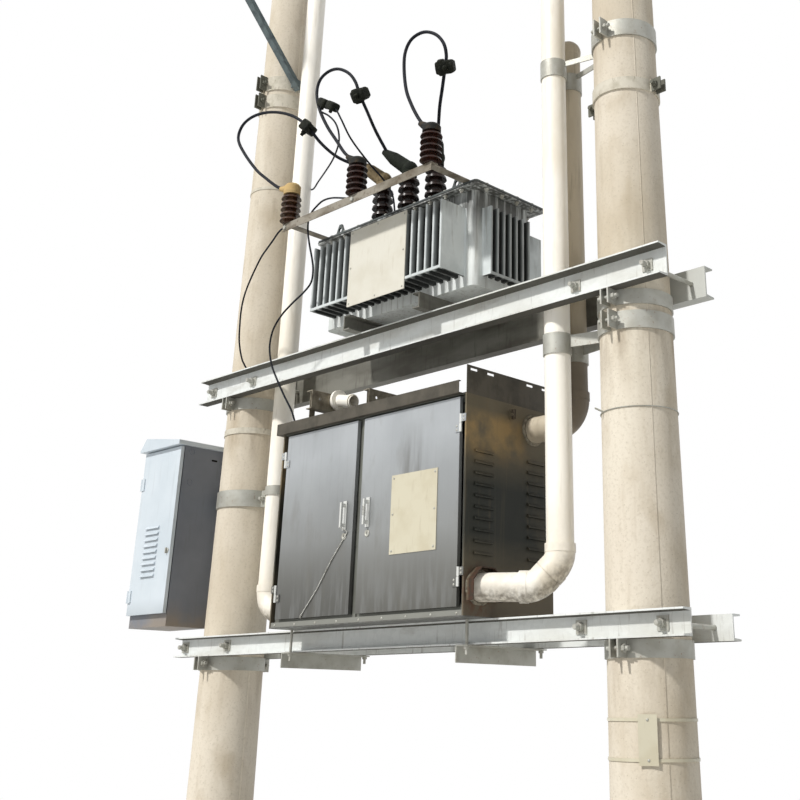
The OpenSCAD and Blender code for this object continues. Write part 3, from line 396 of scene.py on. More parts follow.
piece("pole_tie_wire", joined(tube(hoop_line, wire_r, 6), *tails), fittings)


# Number plate
# A small blank plate of sheet steel under yellowed enamel. Two bands hold it on the right pole, with a
# rivet through each band.

plate_turn = math.radians(-60)
plate_foot_z = 1.435
plate_rivet_z = (1.451, 1.573)
# From the pole's skin to the plate's face, and how deep a rivet sits in it
plate_stand = 0.0085
rivet_sunk = 0.0006
rivet_shape = turned([
    (0, 0), (0.0050, 0), (0.0050, 0.0006), (0.0040, 0.0018), (0.0020, 0.0025), (0, 0.0027),
])

# Vitreous enamel that has yellowed: a soft gloss, and rust stains that run down
enamel, shader, where = new_finish("faded enamel plate", 0.4)
shader.inputs["Coat Weight"].default_value = 0.15
colour = clouded(where, "cac4ae", [
    ("bbb298", 0.6, 0.10, 0.45, 0.68),
    ("96876a", 0.3, 0.018, 0.58, 0.75, (1, 1, 6)),
])
surfaced(shader, where, colour, 0.06, 0.0003)
dressed(enamel, "door_sign_plate", "pole_number_plate")

plate_out = np.array([math.cos(plate_turn), math.sin(plate_turn), 0])
plate_reach = pole_radius(plate_foot_z) + plate_stand - rivet_sunk
rivets = [plate_out * plate_reach + (pole_axis_x[1], 0, z) for z in plate_rivet_z]
piece("number_plate_rivets", stamped(rivet_shape, rivets, plate_out), fittings)


# Cabinet
# A box of folded stainless sheet with two doors on knuckle hinges. The doors are brushed up and down and
# darken towards the sill; the side walls are pressed with two rows of louvres.

cabinet_left_x = 0.730
cabinet_right_x = 1.910
door_face_y = -0.333
louvre_y = (-0.231, 0.075)
louvre_z = 2.141 + 0.043 * np.arange(10)
louvre_gap = 0.010
louvre_width = 0.101

# Stainless sheet with a vertical brushed grain, drawn 1.5 mm wide so that it shows: a soft, bluish grey that
# darkens towards the sill. What stands proud of the doors between these pairs of x, the hinge knuckles and
# the handles, is made nearly white
brush_width = 0.0015
leaf_gap_x = 1.274
pale_proud_x = ((0.752, 0.767), (1.175, 1.375), (1.873, 1.888))
pale_proud_y = (-0.3342, -0.3346)
stainless, shader, where = new_finish("brushed stainless sheet", 0.42, 0.5)
colour = clouded(where, "b2b6b9", [
    ("9da1a4", 0.8, 0.45, 0.40, 0.66, (1, 1, 1.5)),
    ("7c7b76", 0.16, 0.014, 0.56, 0.76, (1, 1, 26)),
])
colour = stained(colour, ramp_along(where, "Z", 2.62, 2.10), "7d7d78", 0.80)
colour = stained(colour, ramp_along(where, "Z", 2.26, 1.94), "55544e", 0.85)
left_leaf = ramp_along(where, "X", leaf_gap_x + 0.001, leaf_gap_x - 0.001)
colour = stained(colour, (left_leaf, ramp_along(where, "Z", 2.60, 2.00)), "4b4b48", 0.45)
colour = stained(colour, patches(where, 0.09, 0.56, 0.76, (1, 1, 3)), "6f6c63", 0.35)
# Where water has run down from the frame above the plate
run = (ramp_along(where, "X", 1.530, 1.590), ramp_along(where, "X", 1.710, 1.640),
       ramp_along(where, "Z", 2.700, 2.500), ramp_along(where, "Z", 2.440, 2.460),
       ramp_along(where, "Y", -0.300, -0.320),
       patches(where, 0.045, 0.36, 0.60, (1, 1, 9)))
colour = stained(colour, run, "5f5d57", 0.65)
splashed = (ramp_along(where, "Z", 2.20, 2.02), patches(where, 0.030, 0.46, 0.64, (1, 1, 8)))
colour = stained(colour, splashed, "8c8e8e", 0.35)
proud = ramp_along(where, "Y", *pale_proud_y)
for low_x, high_x in pale_proud_x:
    pale_proud = (proud, ramp_along(where, "X", low_x, low_x + 0.001),
              ramp_along(where, "X", high_x, high_x - 0.001))
    colour = stained(colour, pale_proud, "dcddd9", 0.9)
surfaced(shader, where, colour)
brushed = patches(where, brush_width, 0.3, 0.7, (1, 1, 60), 2.0)
worn = add(where, "MapRange", {"Value": brushed, "To Min": 0.36, "To Max": 0.50})
link(worn, shader.inputs["Roughness"])
waves = patches(where, 0.35, 0.2, 0.8)
dents = add(where, "Bump", {"Height": waves, "Distance": 0.004})
grain = add(where, "Bump", {"Height": brushed, "Distance": 0.00006, "Normal": dents})
link(grain, shader.inputs["Normal"])
dressed(stainless, "cabinet_door_left", "cabinet_door_right", "cabinet_hinges", "cabinet_back_wall",
        "cabinet_floor")

# The recessed frame keeps its mill finish under a film of dust, so it is greyer and duller
dull_frame, shader, where = new_finish("dull stainless frame", 0.55, 0.4)
colour = stained("6d6f68", patches(where, 0.09, 0.42, 0.68, (1, 1, 2)), "55544d", 0.6)
colour = stained(colour, ramp_along(where, "Z", 1.960, 1.935), "96968f", 0.6)
surfaced(shader, where, colour, 0.003, 0.0002)
dressed(dull_frame, "cabinet_front_frame")

# The side sheets are browned and shine only a little. Under the roof a golden-brown band is painted
# reflection, and lower down a blue-black band is painted dark reflection and shade; the hood, right of
# hood_x, is the darkest, and the lower pipe's entry has rusted
hood_x = 1.922
rust_at = (1.910, -0.250, 2.010)
rust_reach = (0.115, 0.065)
side_sheet, shader, where = new_finish("browned stainless sheet", 0.55, 0.05, 0.2)
colour = stained("696150", patches(where, 0.30, 0.36, 0.66, (1, 1, 1.5)), "4f4b3e", 0.8)
golden_reflection = (ramp_along(where, "Z", 2.48, 2.56), ramp_along(where, "Z", 2.71, 2.66),
          ramp_along(where, "Y", 0.06, -0.08), patches(where, 0.10, 0.34, 0.60))
colour = stained(colour, golden_reflection, "a08558", 0.75)
dark_reflection_and_shade = (ramp_along(where, "Z", 2.58, 2.40), ramp_along(where, "Z", 2.04, 2.22),
         patches(where, 0.25, 0.10, 0.46, (1, 1, 1.5)))
colour = stained(colour, dark_reflection_and_shade, "202523", 0.92)
colour = stained(colour, patches(where, 0.02, 0.54, 0.72, (1, 1, 20)), "6b5f4b", 0.25)
colour = stained(colour, ramp_along(where, "Z", 2.12, 1.98), "645c4f", 0.6)
colour = stained(colour, ramp_along(where, "X", hood_x, hood_x + 0.002), "302821", 0.85)
entry = add(where, "VectorMath", {0: where, 1: rust_at}, "Value", operation="DISTANCE")
near = add(where, "MapRange", {"Value": entry, "From Min": rust_reach[0], "From Max": rust_reach[1]})
rusty = (near, patches(where, 0.02, 0.36, 0.60))
colour = stained(colour, rusty, "5a3526", 0.6)
surfaced(shader, where, colour, 0.004, 0.0002)
dressed(side_sheet, "cabinet_left_wall", "cabinet_right_wall", "cable_hood")


def plate_shape(width, height, depth, squareness=0.12, sides=32):
    """A flat plate standing on z = 0 with an eased front edge. Its outline is
    x = w/2 sgn(cos a)|cos a|^s and y = h/2 sgn(sin a)|sin a|^s."""
    angle = (np.arange(sides) + 0.5) * 2 * np.pi / sides
    x = width / 2 * np.sign(np.cos(angle)) * np.abs(np.cos(angle)) ** squareness
    y = height / 2 * np.sign(np.sin(angle)) * np.abs(np.sin(angle)) ** squareness
    share, z = np.array([(0, 0), (1, 0), (1, 0.7), (0.97, 1), (0, 1)]).T
    points = np.stack([
        np.outer(share, x), np.outer(share, y), np.repeat(z[:, None] * depth, sides, axis=1),
    ], axis=-1)
    return points.reshape(-1, 3), lattice(len(share), sides)


# Dark plates under the louvres stand for their openings: painted shade
shadow = weathered("painted shade in openings", (0.95, 0.0, 0.1), "0e0d0c", [("1d1a16", 1.0, 0.01, 0.4, 0.7)])
opening = plate_shape(louvre_width, louvre_gap, 0.0006, 0.2, 16)
rows = [(y, z + louvre_gap / 2) for y in louvre_y for z in louvre_z]
piece("louvre_openings", joined(
    stamped(opening, [(cabinet_right_x, y, z) for y, z in rows], (1, 0, 0)),
    stamped(opening, [(cabinet_left_x, y, z) for y, z in rows], (-1, 0, 0)),
), shadow)

# Rivets along the sill, and screws in the straps of the hinges
sill_face_y = -0.331
sill_rivet_x = 0.765 + 0.1385 * np.arange(9)
sill_rivet_z = 1.9275
sill_rivets = [(x, sill_face_y, sill_rivet_z) for x in sill_rivet_x]
piece("sill_rivets", stamped(rivet_shape, sill_rivets, (0, -1, 0)), fittings)

strap_y = -0.337
door_foot_z = 1.951
hinge_feet = (door_foot_z + 0.070, door_foot_z + 0.651)
leaf_screw_x = (0.779, 1.861)
post_screw_x = (0.742, 1.898)
leaf_screw_rise = (0.008, 0.024)
post_screw_rise = (0.048, 0.062)
screw = joined(
    turned([(0, 0), (0.0046, 0), (0.0046, 0.0008), (0.0036, 0.0017), (0, 0.0019)]),
    stamped(plate_shape(0.0060, 0.0010, 0.0021, 0.2, 12), [(0, 0, 0)], (0, 0, 1), (0, 1, 0)),
)
post_screws = [(x, strap_y, foot + rise)
               for x in post_screw_x for foot in hinge_feet for rise in post_screw_rise]
piece("post_hinge_screws", stamped(screw, post_screws, (0, -1, 0)), fittings)
for leaf, x in zip(("left_cabinet_door", "right_cabinet_door"), leaf_screw_x):
    heads = [(x, strap_y, foot + rise) for foot in hinge_feet for rise in leaf_screw_rise]
    piece(leaf + "_hinge_screws", stamped(screw, heads, (0, -1, 0)), fittings, body=leaf)

# A key plate under each handle: a turned rim round a slotted barrel
key_z = 2.262
handle_x = (1.202, 1.348)
key_rim = turned([(0, 0), (0.0150, 0), (0.0150, 0.0020), (0.0125, 0.0036), (0.0095, 0.0036),
                  (0.0085, 0.0026), (0, 0.0026)], 24)
# The key slot is a dark plate: painted shade
key_slot = plate_shape(0.0022, 0.0100, 0.0030, 0.3, 16)
for leaf, x in zip(("left_cabinet_door", "right_cabinet_door"), handle_x):
    spot = [(x, door_face_y, key_z)]
    piece(leaf + "_key_plate", stamped(key_rim, spot, (0, -1, 0)), fittings, body=leaf)
    piece(leaf + "_key_slot", stamped(key_slot, spot, (0, -1, 0)), shadow, leaf)

# A taut ball chain on the left door, from the foot of its handle to the corner of the leaf
bead_r = 0.0031
bead_pitch = 0.0068
bead_wire_r = 0.0009
chain_knots = np.array([
    (1.203, -0.3590, 2.297), (1.212, -0.3500, 2.289), (1.226, -0.3366, 2.278), (1.131, -0.3364, 2.171),
    (1.044, -0.3364, 2.057), (0.948, -0.3366, 1.957), (0.943, -0.3330, 1.9495),
])
steps = np.r_[0, np.cumsum(np.linalg.norm(np.diff(chain_knots, axis=0), axis=1))]
stations = np.arange(0, steps[-1], bead_pitch)
beads = np.stack([np.interp(stations, steps, chain_knots[:, i]) for i in range(3)], axis=-1)
bow = np.linspace(-np.pi / 2, np.pi / 2, 5)
bead = turned(np.stack([bead_r * np.cos(bow), bead_r * np.sin(bow)], axis=-1), 8)
# Steel beads, bright grey mottled with grey-brown where the rain stays
chain_metal = weathered("weathered chain", (0.4, 0.5), "bcbcb6", [("756f64", 0.8, 0.02, 0.46, 0.66)])
piece("left_door_chain", joined(
    stamped(bead, beads, (0, 0, 1), (0, 1, 0)), tube(beads, bead_wire_r, 6, (0, 1, 0)),
), chain_metal, body="left_cabinet_door")

# Wire wound round the grip of the right door's handle
lash_turns = 6
lash_reach = (0.0078, 0.0068)
lash_y = -0.357
lash_z = 2.330
lash_height = 0.040
lash_r = 0.0013
lash = np.linspace(0, 1, 12 * lash_turns + 1)
lash_line = np.stack([
    handle_x[1] + lash_reach[0] * np.cos(2 * np.pi * lash_turns * lash),
    lash_y + lash_reach[1] * np.sin(2 * np.pi * lash_turns * lash),
    lash_z + lash_height * lash,
], axis=-1)
piece("right_handle_lashing", tube(lash_line, lash_r, 6), chain_metal, body="right_cabinet_door")

# Rivets at the corners and halfway up the blank plate on the right door
sign_x = (1.503, 1.744)
sign_z = (2.178, 2.3215, 2.465)
sign_face_y = -0.336
sign_rivets = [(x, sign_face_y, z) for x in sign_x for z in sign_z]
piece("sign_plate_rivets", stamped(rivet_shape, sign_rivets, (0, -1, 0)), fittings,
      body="right_cabinet_door")


# Cabinet roof
# A tray of the same sheet with folded edges, brown with years of dust. Two short channels on legs
# stand on it, and a white plastic spout leaves the left one.

roof_sheet = weathered("weathered roof sheet", (0.65, 0.2), "514c42", [
    ("3d3930", 0.9, 0.09, 0.42, 0.62),
    ("3b3529", 0.6, 0.02, 0.55, 0.72, (1, 1, 6)),
], 0.004, 0.0003)
dressed(roof_sheet, "cabinet_roof")

# Zinc under a skin of brown dust
dusty_zinc = weathered("dusty galvanised channel", (0.7, 0.25), "8d8676", [
    ("5f5646", 0.85, 0.05, 0.42, 0.64),
    ("453b2d", 0.6, 0.012, 0.60, 0.74),
], 0.003, 0.0003)
dressed(dusty_zinc, "roof_bearers")


# Transformer
# A welded tank with walls folded into deep cooling pleats, sprayed pale grey. The gaps between the pleats
# are painted dark, painted shade with some grime, and the cover is bolted down on a rubber gasket.

tank_centre_x = 1.2885
cover_top_z = 3.748
rim_under_z = 3.730
cover_bolt_y = 0.218
cover_bolt_x = 0.539
# The bolts' spacing, and how many hold a long and a short side
cover_bolt_step = 0.1
cover_bolt_counts = (10, 4)

# Sprayed enamel with a chalky face: pale on the pleats' tips and on the outermost pleats, and near-black
# down in the gaps, which is painted shade with some grime. Each row has its nodes and two limits of the
# painted gap shade, across the wall and along it: the axis, the wall's middle on it, and how far from there
# the gap shade starts to fade and has gone
pleat_rows = (
    ("long wall enamel", ("front_fins", "back_fins"),
     (("Y", 0.0, 0.300, 0.328), ("X", tank_centre_x, 0.440, 0.442))),
    ("short wall enamel", ("end_fins",),
     (("X", tank_centre_x, 0.535, 0.560), ("Y", 0.0, 0.127, 0.129))),
)
for finish_name, nodes, limits in pleat_rows:
    tank_paint, shader, where = new_finish(finish_name, 0.5)
    gap_shade = []
    for axis, middle, start, stop in limits:
        place = add(where, "SeparateXYZ", {"Vector": where}, axis)
        offset = add(where, "Math", {0: place, 1: middle}, operation="SUBTRACT")
        reach = add(where, "Math", {0: offset}, operation="ABSOLUTE")
        gap_shade.append(add(where, "MapRange", {
            "Value": reach, "From Min": start, "From Max": stop, "To Min": 1.0, "To Max": 0.0,
        }))
    colour = clouded(where, "d6dcdc", [
        ("bcc3c3", 0.8, 0.15, 0.42, 0.64),
        ("7f7765", 0.4, 0.018, 0.58, 0.74, (1, 1, 9)),
    ])
    colour = stained(colour, tuple(gap_shade), "1d201e", 0.97)
    smears = (ramp_along(where, "Z", 3.56, 3.68), patches(where, 0.030, 0.40, 0.64, (1, 1, 7)))
    colour = stained(colour, smears, "4c4d48", 0.7)
    surfaced(shader, where, colour, 0.006, 0.0003)
    dressed(tank_paint, *nodes)

# The same enamel on the flat tank, with dark drips that run down from the rim
flat_paint, shader, where = new_finish("streaked tank enamel", 0.5)
colour = clouded(where, "dde1df", [
    ("c3c8c6", 0.8, 0.15, 0.42, 0.64),
    ("6d6556", 0.5, 0.016, 0.54, 0.72, (1, 1, 14)),
])
rim_drips = (ramp_along(where, "Z", 3.46, 3.66), patches(where, 0.022, 0.30, 0.54, (1, 1, 12)))
colour = stained(colour, rim_drips, "3a3a36", 0.9)
surfaced(shader, where, colour, 0.006, 0.0003)
dressed(flat_paint, "transformer_tank")

# The cover and its rim are painted dark: oil and soot, and painted shade under the cover's overhang
cover_paint = weathered("oily cover enamel in painted shade", (0.45,), "4d5453", [
    ("33383a", 0.9, 0.09, 0.42, 0.66),
    ("7b7566", 0.6, 0.03, 0.58, 0.74),
], 0.006, 0.0003)
dressed(cover_paint, "tank_cover")

hex_head = turned([(0, 0), (0.0110, 0), (0.0110, 0.0060), (0.0094, 0.0075), (0, 0.0075)], 6)
hex_nut = turned([(0, 0), (0.0105, 0), (0.0110, 0.0010), (0.0110, 0.0080), (0.0100, 0.0090),
                  (0.0060, 0.0090), (0.0060, 0.0170), (0, 0.0170)], 6)
long_steps, short_steps = [cover_bolt_step * (np.arange(n) - (n - 1) / 2) for n in cover_bolt_counts]
bolt_row = [(tank_centre_x + x, side * cover_bolt_y) for side in (-1, 1) for x in long_steps]
bolt_row += [(tank_centre_x + side * cover_bolt_x, y) for side in (-1, 1) for y in short_steps]
piece("cover_bolts", joined(
    stamped(hex_head, [(x, y, cover_top_z) for x, y in bolt_row], (0, 0, 1), (0, 1, 0)),
    stamped(hex_nut, [(x, y, rim_under_z) for x, y in bolt_row], (0, 0, -1), (0, 1, 0)),
), fittings, smooth=False)

# Black rubber cord squeezed out along the joint between the rim and the cover
gasket_half = (0.5535, 0.232)
gasket_corner = 0.018
gasket_z = 3.738
gasket_r = 0.0019
angle = np.linspace(0, 2 * np.pi, 65)
corner = np.stack([
    np.sign(np.round(np.cos(angle), 6)) * (gasket_half[0] - gasket_corner) + gasket_corner * np.cos(angle),
    np.sign(np.round(np.sin(angle), 6)) * (gasket_half[1] - gasket_corner) + gasket_corner * np.sin(angle),
    np.zeros_like(angle),
], axis=-1)
# The points straight ahead and straight aside belong to no corner, so they are left out
gasket_line = corner[np.round(np.sin(2 * angle), 6) != 0] + (tank_centre_x, 0, gasket_z)
gasket_line = np.vstack([gasket_line, gasket_line[:1]])
# Sun-dried rubber, almost black, with a grey bloom
seal_rubber = weathered("sun-dried rubber", (0.8,), "1c1c1b", [("3b3a36", 0.9, 0.03, 0.42, 0.66)])
piece("cover_gasket", tube(gasket_line, gasket_r, 8), seal_rubber)


# Rating board
# A plate of sheet steel under cream enamel, left blank. It stands on the tips of the front pleats, with
# rivets round its edge.

board_face_y = -0.334
board_x = (1.139, 1.3185, 1.498)
board_z = (3.301, 3.474, 3.647)
board_middle = (board_x[1], board_z[1])
board_rivets = [(x, board_face_y, z) for x in board_x for z in board_z if (x, z) != board_middle]
board_paint = weathered("cream plate enamel", (0.42,), "d5d2c6", [
    ("c8c3b3", 0.6, 0.12, 0.45, 0.68),
    ("a89c82", 0.3, 0.016, 0.60, 0.75, (1, 1, 7)),
], 0.08, 0.0003)
dressed(board_paint, "rating_board")
piece("rating_board_rivets", stamped(rivet_shape, board_rivets, (0, -1, 0)), fittings)


# Bushings and surge arresters
# Ribbed porcelain, dipped in brown glaze and fired, on steel feet. Moulded caps cover the
# terminals: the left arrester's has bleached to ochre, and so has the left bushing's boot.

cap_foot_z = 3.911
bleached_cap_x = 1.0
bleached_boot_x = 1.124
stud_step = 0.15
stud_x = tank_centre_x + stud_step * (np.arange(4) - 1.5)
stud_y = 0.110
stud_washer_z = 3.8405
stud_nut_z = (3.843, 3.8585)

# Glazed porcelain: a hard, dark brown gloss, mottled darker
porcelain = weathered("brown glazed porcelain", (0.25, 0.0, 0.3), "241510", [
    ("120b09", 0.9, 0.03, 0.42, 0.66),
    ("453b31", 0.35, 0.05, 0.60, 0.75),
])
dressed(porcelain, "hv_bushings", "lv_bushings")

# The arresters have the same glaze below their moulded caps, which are dull
arrester_glaze, shader, where = new_finish("glazed arrester with moulded cap", 0.22, 0.0, 0.3)
cap = ramp_along(where, "Z", cap_foot_z - 0.0005, cap_foot_z + 0.0005)
bleached = ramp_along(where, "X", bleached_cap_x, bleached_cap_x - 0.001)
colour = stained("30170f", patches(where, 0.03, 0.42, 0.66), "1c0e0a", 0.9)
colour = stained(colour, (bleached, patches(where, 0.03, 0.30, 0.60)), "4f351f", 0.8)
colour = stained(colour, cap, "131513")
colour = stained(colour, (cap, bleached), "c4a873")
colour = stained(colour, (cap, patches(where, 0.03, 0.5, 0.7)), "5d4a30", 0.35)
surfaced(shader, where, colour)
gloss = add(where, "MapRange", {"Value": cap, "To Min": 0.22, "To Max": 0.75})
link(gloss, shader.inputs["Roughness"])
dressed(arrester_glaze, "surge_arresters")

# Moulded rubber, green-black and matt; the left boot has bleached to ochre in the sun
boot_rubber, shader, where = new_finish("moulded boot rubber", 0.8, 0.0, 0.2)
colour = stained("121610", patches(where, 0.03, 0.42, 0.66), "22281e", 0.8)
faded = ramp_along(where, "X", bleached_boot_x, bleached_boot_x - 0.001)
colour = stained(colour, faded, "8d7d60")
colour = stained(colour, (faded, patches(where, 0.025, 0.45, 0.65)), "57482f", 0.8)
surfaced(shader, where, colour, 0.006, 0.0005)
dressed(boot_rubber, "bushing_boots")

# The angle and its arms: mill steel under thin zinc, grey-brown with rust
rusty_angle = weathered("rust-stained angle", (0.75, 0.15), "918b7f", [
    ("615849", 0.9, 0.07, 0.42, 0.64, (2, 1, 1)),
    ("54402e", 0.6, 0.015, 0.56, 0.72),
], 0.004, 0.0004)
dressed(rusty_angle, "arrester_frame")

stud_nut = turned([
    (0, 0), (0.0150, 0), (0.0156, 0.0015), (0.0156, 0.0105), (0.0150, 0.0120), (0, 0.0120),
], 6)
stud_washer = turned([(0, 0), (0.0180, 0), (0.0180, 0.0025), (0, 0.0025)], 20)
# Brass terminals with a brown-green film
brass = weathered("tarnished brass", (0.4, 1.0), "8c7443", [("4f4a32", 0.8, 0.012, 0.42, 0.66)])
piece("low_voltage_nuts", joined(
    stamped(stud_washer, [(x, stud_y, stud_washer_z) for x in stud_x], (0, 0, 1), (0, 1, 0)),
    stamped(stud_nut, [(x, stud_y, z) for x in stud_x for z in stud_nut_z], (0, 0, 1), (0, 1, 0)),
), brass, smooth=False)


# Leads
# Stranded copper in a black sheath, looped from the arresters to the bushings. A piercing clamp of
# two moulded jaws, drawn together by one bolt, grips each lead where a line is tapped.

clamp_at = ((0.786, -0.380, 4.314), (1.174, -0.370, 4.361), (1.760, -0.360, 4.287))
clamp_along = ((0.71, 0.35, -0.62), (-0.02, 0.56, -0.83), (-0.30, 0.54, -0.79))
small_clamp_at = ((0.960, -0.421, 4.374), (1.034, -0.424, 4.328))
small_clamp_along = (0.83, -0.03, -0.55)
lead_r = 0.008
earth_r = 0.0045
# Points along each lead: out of an arrester's terminal, up and over a loop, and down into a boot
lead_routes = (
    [(0.728, -0.461, 3.962), (0.662, -0.457, 4.002), (0.560, -0.451, 4.079), (0.462, -0.446, 4.159),
     (0.325, -0.437, 4.300), (0.238, -0.430, 4.418), (0.249, -0.425, 4.493), (0.318, -0.420, 4.525),
     (0.433, -0.415, 4.516), (0.572, -0.410, 4.469), (0.700, -0.400, 4.398), (0.788, -0.380, 4.316),
     (0.832, -0.330, 4.234), (0.874, -0.268, 4.172), (0.918, -0.210, 4.138), (0.985, -0.150, 4.107)],
    [(1.238, -0.457, 3.965), (1.186, -0.455, 4.015), (1.117, -0.449, 4.100), (1.022, -0.440, 4.217),
     (0.937, -0.430, 4.347), (0.892, -0.420, 4.457), (0.903, -0.415, 4.531), (0.960, -0.410, 4.560),
     (1.040, -0.410, 4.544), (1.116, -0.403, 4.493), (1.158, -0.390, 4.432), (1.174, -0.370, 4.361),
     (1.166, -0.310, 4.293), (1.153, -0.240, 4.220), (1.158, -0.156, 4.121)],
    [(1.731, -0.457, 3.965), (1.690, -0.455, 4.022), (1.640, -0.449, 4.104), (1.592, -0.440, 4.200),
     (1.560, -0.430, 4.323), (1.557, -0.425, 4.419), (1.592, -0.420, 4.478), (1.665, -0.415, 4.487),
     (1.738, -0.408, 4.449), (1.783, -0.397, 4.389), (1.787, -0.380, 4.330), (1.760, -0.360, 4.287),
     (1.684, -0.300, 4.240), (1.590, -0.225, 4.204), (1.500, -0.145, 4.168), (1.456, -0.110, 4.130)],
)
# Thin earth leads: from under the middle arrester round behind the angle and down to the cabinet's
# roof; from the angle's end in an arc down to the front beam; from the second clamp down to the cover;
# and from the second lead across to the left conduit
earth_routes = (
    [(1.280, -0.445, 3.752), (1.222, -0.430, 3.772), (1.158, -0.420, 3.797), (1.062, -0.412, 3.829),
     (0.993, -0.410, 3.836), (0.949, -0.415, 3.815), (0.920, -0.420, 3.788), (0.911, -0.425, 3.750),
     (0.921, -0.430, 3.688), (0.941, -0.430, 3.616), (0.954, -0.420, 3.549), (0.956, -0.410, 3.492),
     (0.934, -0.400, 3.437), (0.860, -0.385, 3.408), (0.770, -0.372, 3.385), (0.680, -0.366, 3.345),
     (0.612, -0.362, 3.285), (0.588, -0.357, 3.205), (0.606, -0.350, 3.115), (0.650, -0.340, 3.030),
     (0.694, -0.325, 2.950), (0.738, -0.305, 2.868), (0.760, -0.290, 2.789)],
    [(0.790, -0.462, 3.735), (0.750, -0.458, 3.744), (0.700, -0.447, 3.737), (0.638, -0.430, 3.719),
     (0.565, -0.410, 3.701), (0.494, -0.390, 3.681), (0.374, -0.350, 3.629), (0.268, -0.312, 3.568),
     (0.204, -0.283, 3.506), (0.172, -0.262, 3.430), (0.157, -0.245, 3.343), (0.150, -0.215, 3.262),
     (0.150, -0.178, 3.211)],
    [(0.917, -0.417, 4.401), (0.985, -0.421, 4.362), (1.058, -0.424, 4.305), (1.098, -0.415, 4.236),
     (1.114, -0.360, 4.145), (1.117, -0.250, 4.062), (1.131, -0.160, 3.995), (1.156, -0.120, 3.925),
     (1.171, -0.111, 3.840), (1.174, -0.110, 3.748)],
    [(0.943, -0.422, 4.332), (1.004, -0.420, 4.288), (1.050, -0.415, 4.238), (1.074, -0.410, 4.186),
     (1.070, -0.398, 4.138), (1.018, -0.368, 4.112), (0.899, -0.300, 4.119), (0.716, -0.200, 4.152),
     (0.517, -0.090, 4.196), (0.370, 0.000, 4.240), (0.300, 0.036, 4.262), (0.270, 0.040, 4.272)],
)


def flowing(points, steps=8):
    """A smooth line through points: between b and c, with neighbours a and d, at t from 0 to 1,
    (2b + (c - a) t + (2a - 5b + 4c - d) t² + (3b - a - 3c + d) t³) / 2."""
    b = np.asarray(points, dtype=float)
    padded = np.vstack([2 * b[0] - b[1], b, 2 * b[-1] - b[-2]])[:, None]
    a, b, c, d = padded[:-3], padded[1:-2], padded[2:-1], padded[3:]
    t = np.linspace(0, 1, steps, endpoint=False)[None, :, None]
    bend = (2 * a - 5 * b + 4 * c - d) * t ** 2 + (3 * b - a - 3 * c + d) * t ** 3
    line = (2 * b + (c - a) * t + bend) / 2
    return np.vstack([line.reshape(-1, 3), padded[-2]])


# Polyethylene sheath: blue-black and dull, with a film of dust
lead_sheath = weathered("black lead sheath", (0.65, 0.0, 0.2), "0e1118", [
    ("1b1f29", 0.7, 0.03, 0.42, 0.66),
], 0.005, 0.0003)
leads = joined(*[tube(flowing(route), lead_r, 10, (0, 1, 0)) for route in lead_routes])
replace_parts(piece("lead_loops", leads, lead_sheath), "hv_leads")
earths = joined(*[tube(flowing(route), earth_r, 8, (0, 1, 0)) for route in earth_routes])
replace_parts(piece("earth_lead_loops", earths, lead_sheath), "earth_leads")

# Bolts that fasten two of the thin leads to the angle
lug_bolt_at = ((0.790, -0.470, 3.735), (1.2885, -0.470, 3.735))
piece("earth_lug_bolts", stamped(hex_head, lug_bolt_at, (0, -1, 0)), fittings, smooth=False)


def rounded_block(size, squareness=0.35, rows=9, sides=20):
    """A block with soft edges: x = a/2 C(u) C(v), y = b/2 C(u) S(v), z = c/2 S(u), where C and S
    are the cosine and the sine raised to the power s with their signs kept."""
    u = np.linspace(-np.pi / 2, np.pi / 2, rows)[:, None]
    v = np.linspace(0, 2 * np.pi, sides, endpoint=False)[None, :]
    waves = [np.round(wave, 9) for wave in (np.cos(u), np.sin(u), np.cos(v), np.sin(v))]
    cu, su, cv, sv = [np.sign(wave) * np.abs(wave) ** squareness for wave in waves]
    points = np.stack([cu * cv, cu * sv, su * np.ones_like(cv)], axis=-1) * np.asarray(size) / 2
    return points.reshape(-1, 3), lattice(rows, sides)


def moved(shape, shift):
    """A shape shifted by an offset."""
    points, faces = shape
    return points + np.asarray(shift, dtype=float), faces


# A tapping clamp: two jaws side by side, a waist and a tail across them, and a hexagon bolt in front
jaw = rounded_block((0.086, 0.024, 0.062))
jaw_offset = 0.013
waist = rounded_block((0.030, 0.052, 0.076))
tail = rounded_block((0.022, 0.058, 0.050))
jaw_bolt = turned([(0, 0), (0.0130, 0), (0.0130, 0.0140), (0.0090, 0.0200), (0.0090, 0.0300),
                   (0, 0.0300)], 6)
clamp_body = joined(
    moved(jaw, (0, jaw_offset, 0)), moved(jaw, (0, -jaw_offset, 0)),
    moved(waist, (0.016, 0, 0)), moved(tail, (-0.034, 0, 0)),
    stamped(jaw_bolt, [(-0.006, -0.022, 0)], (0, -1, 0)),
)
small_bolt = turned([(0, 0), (0.0100, 0), (0.0100, 0.0120), (0, 0.0160)], 6)
small_body = joined(
    rounded_block((0.054, 0.046, 0.070), 0.45),
    stamped(small_bolt, [(0, -0.020, 0)], (0, -1, 0)),
)
# Weather-proof moulded jaws, green-black and matt
clamp_plastic = weathered("moulded clamp plastic", (0.75, 0.0, 0.2), "12150f", [
    ("23251b", 0.8, 0.025, 0.42, 0.66),
    ("5b5345", 0.4, 0.012, 0.60, 0.74),
], 0.012, 0.003)
piece("lead_clamps", joined(
    *[stamped(clamp_body, [at], axis) for at, axis in zip(clamp_at, clamp_along)],
    stamped(small_body, small_clamp_at, small_clamp_along),
), clamp_plastic)


# Conduits
# White plastic pipe in socketed lengths, clipped to the poles, yellowed by the sun. Putty seals it
# where it enters the cabinet.

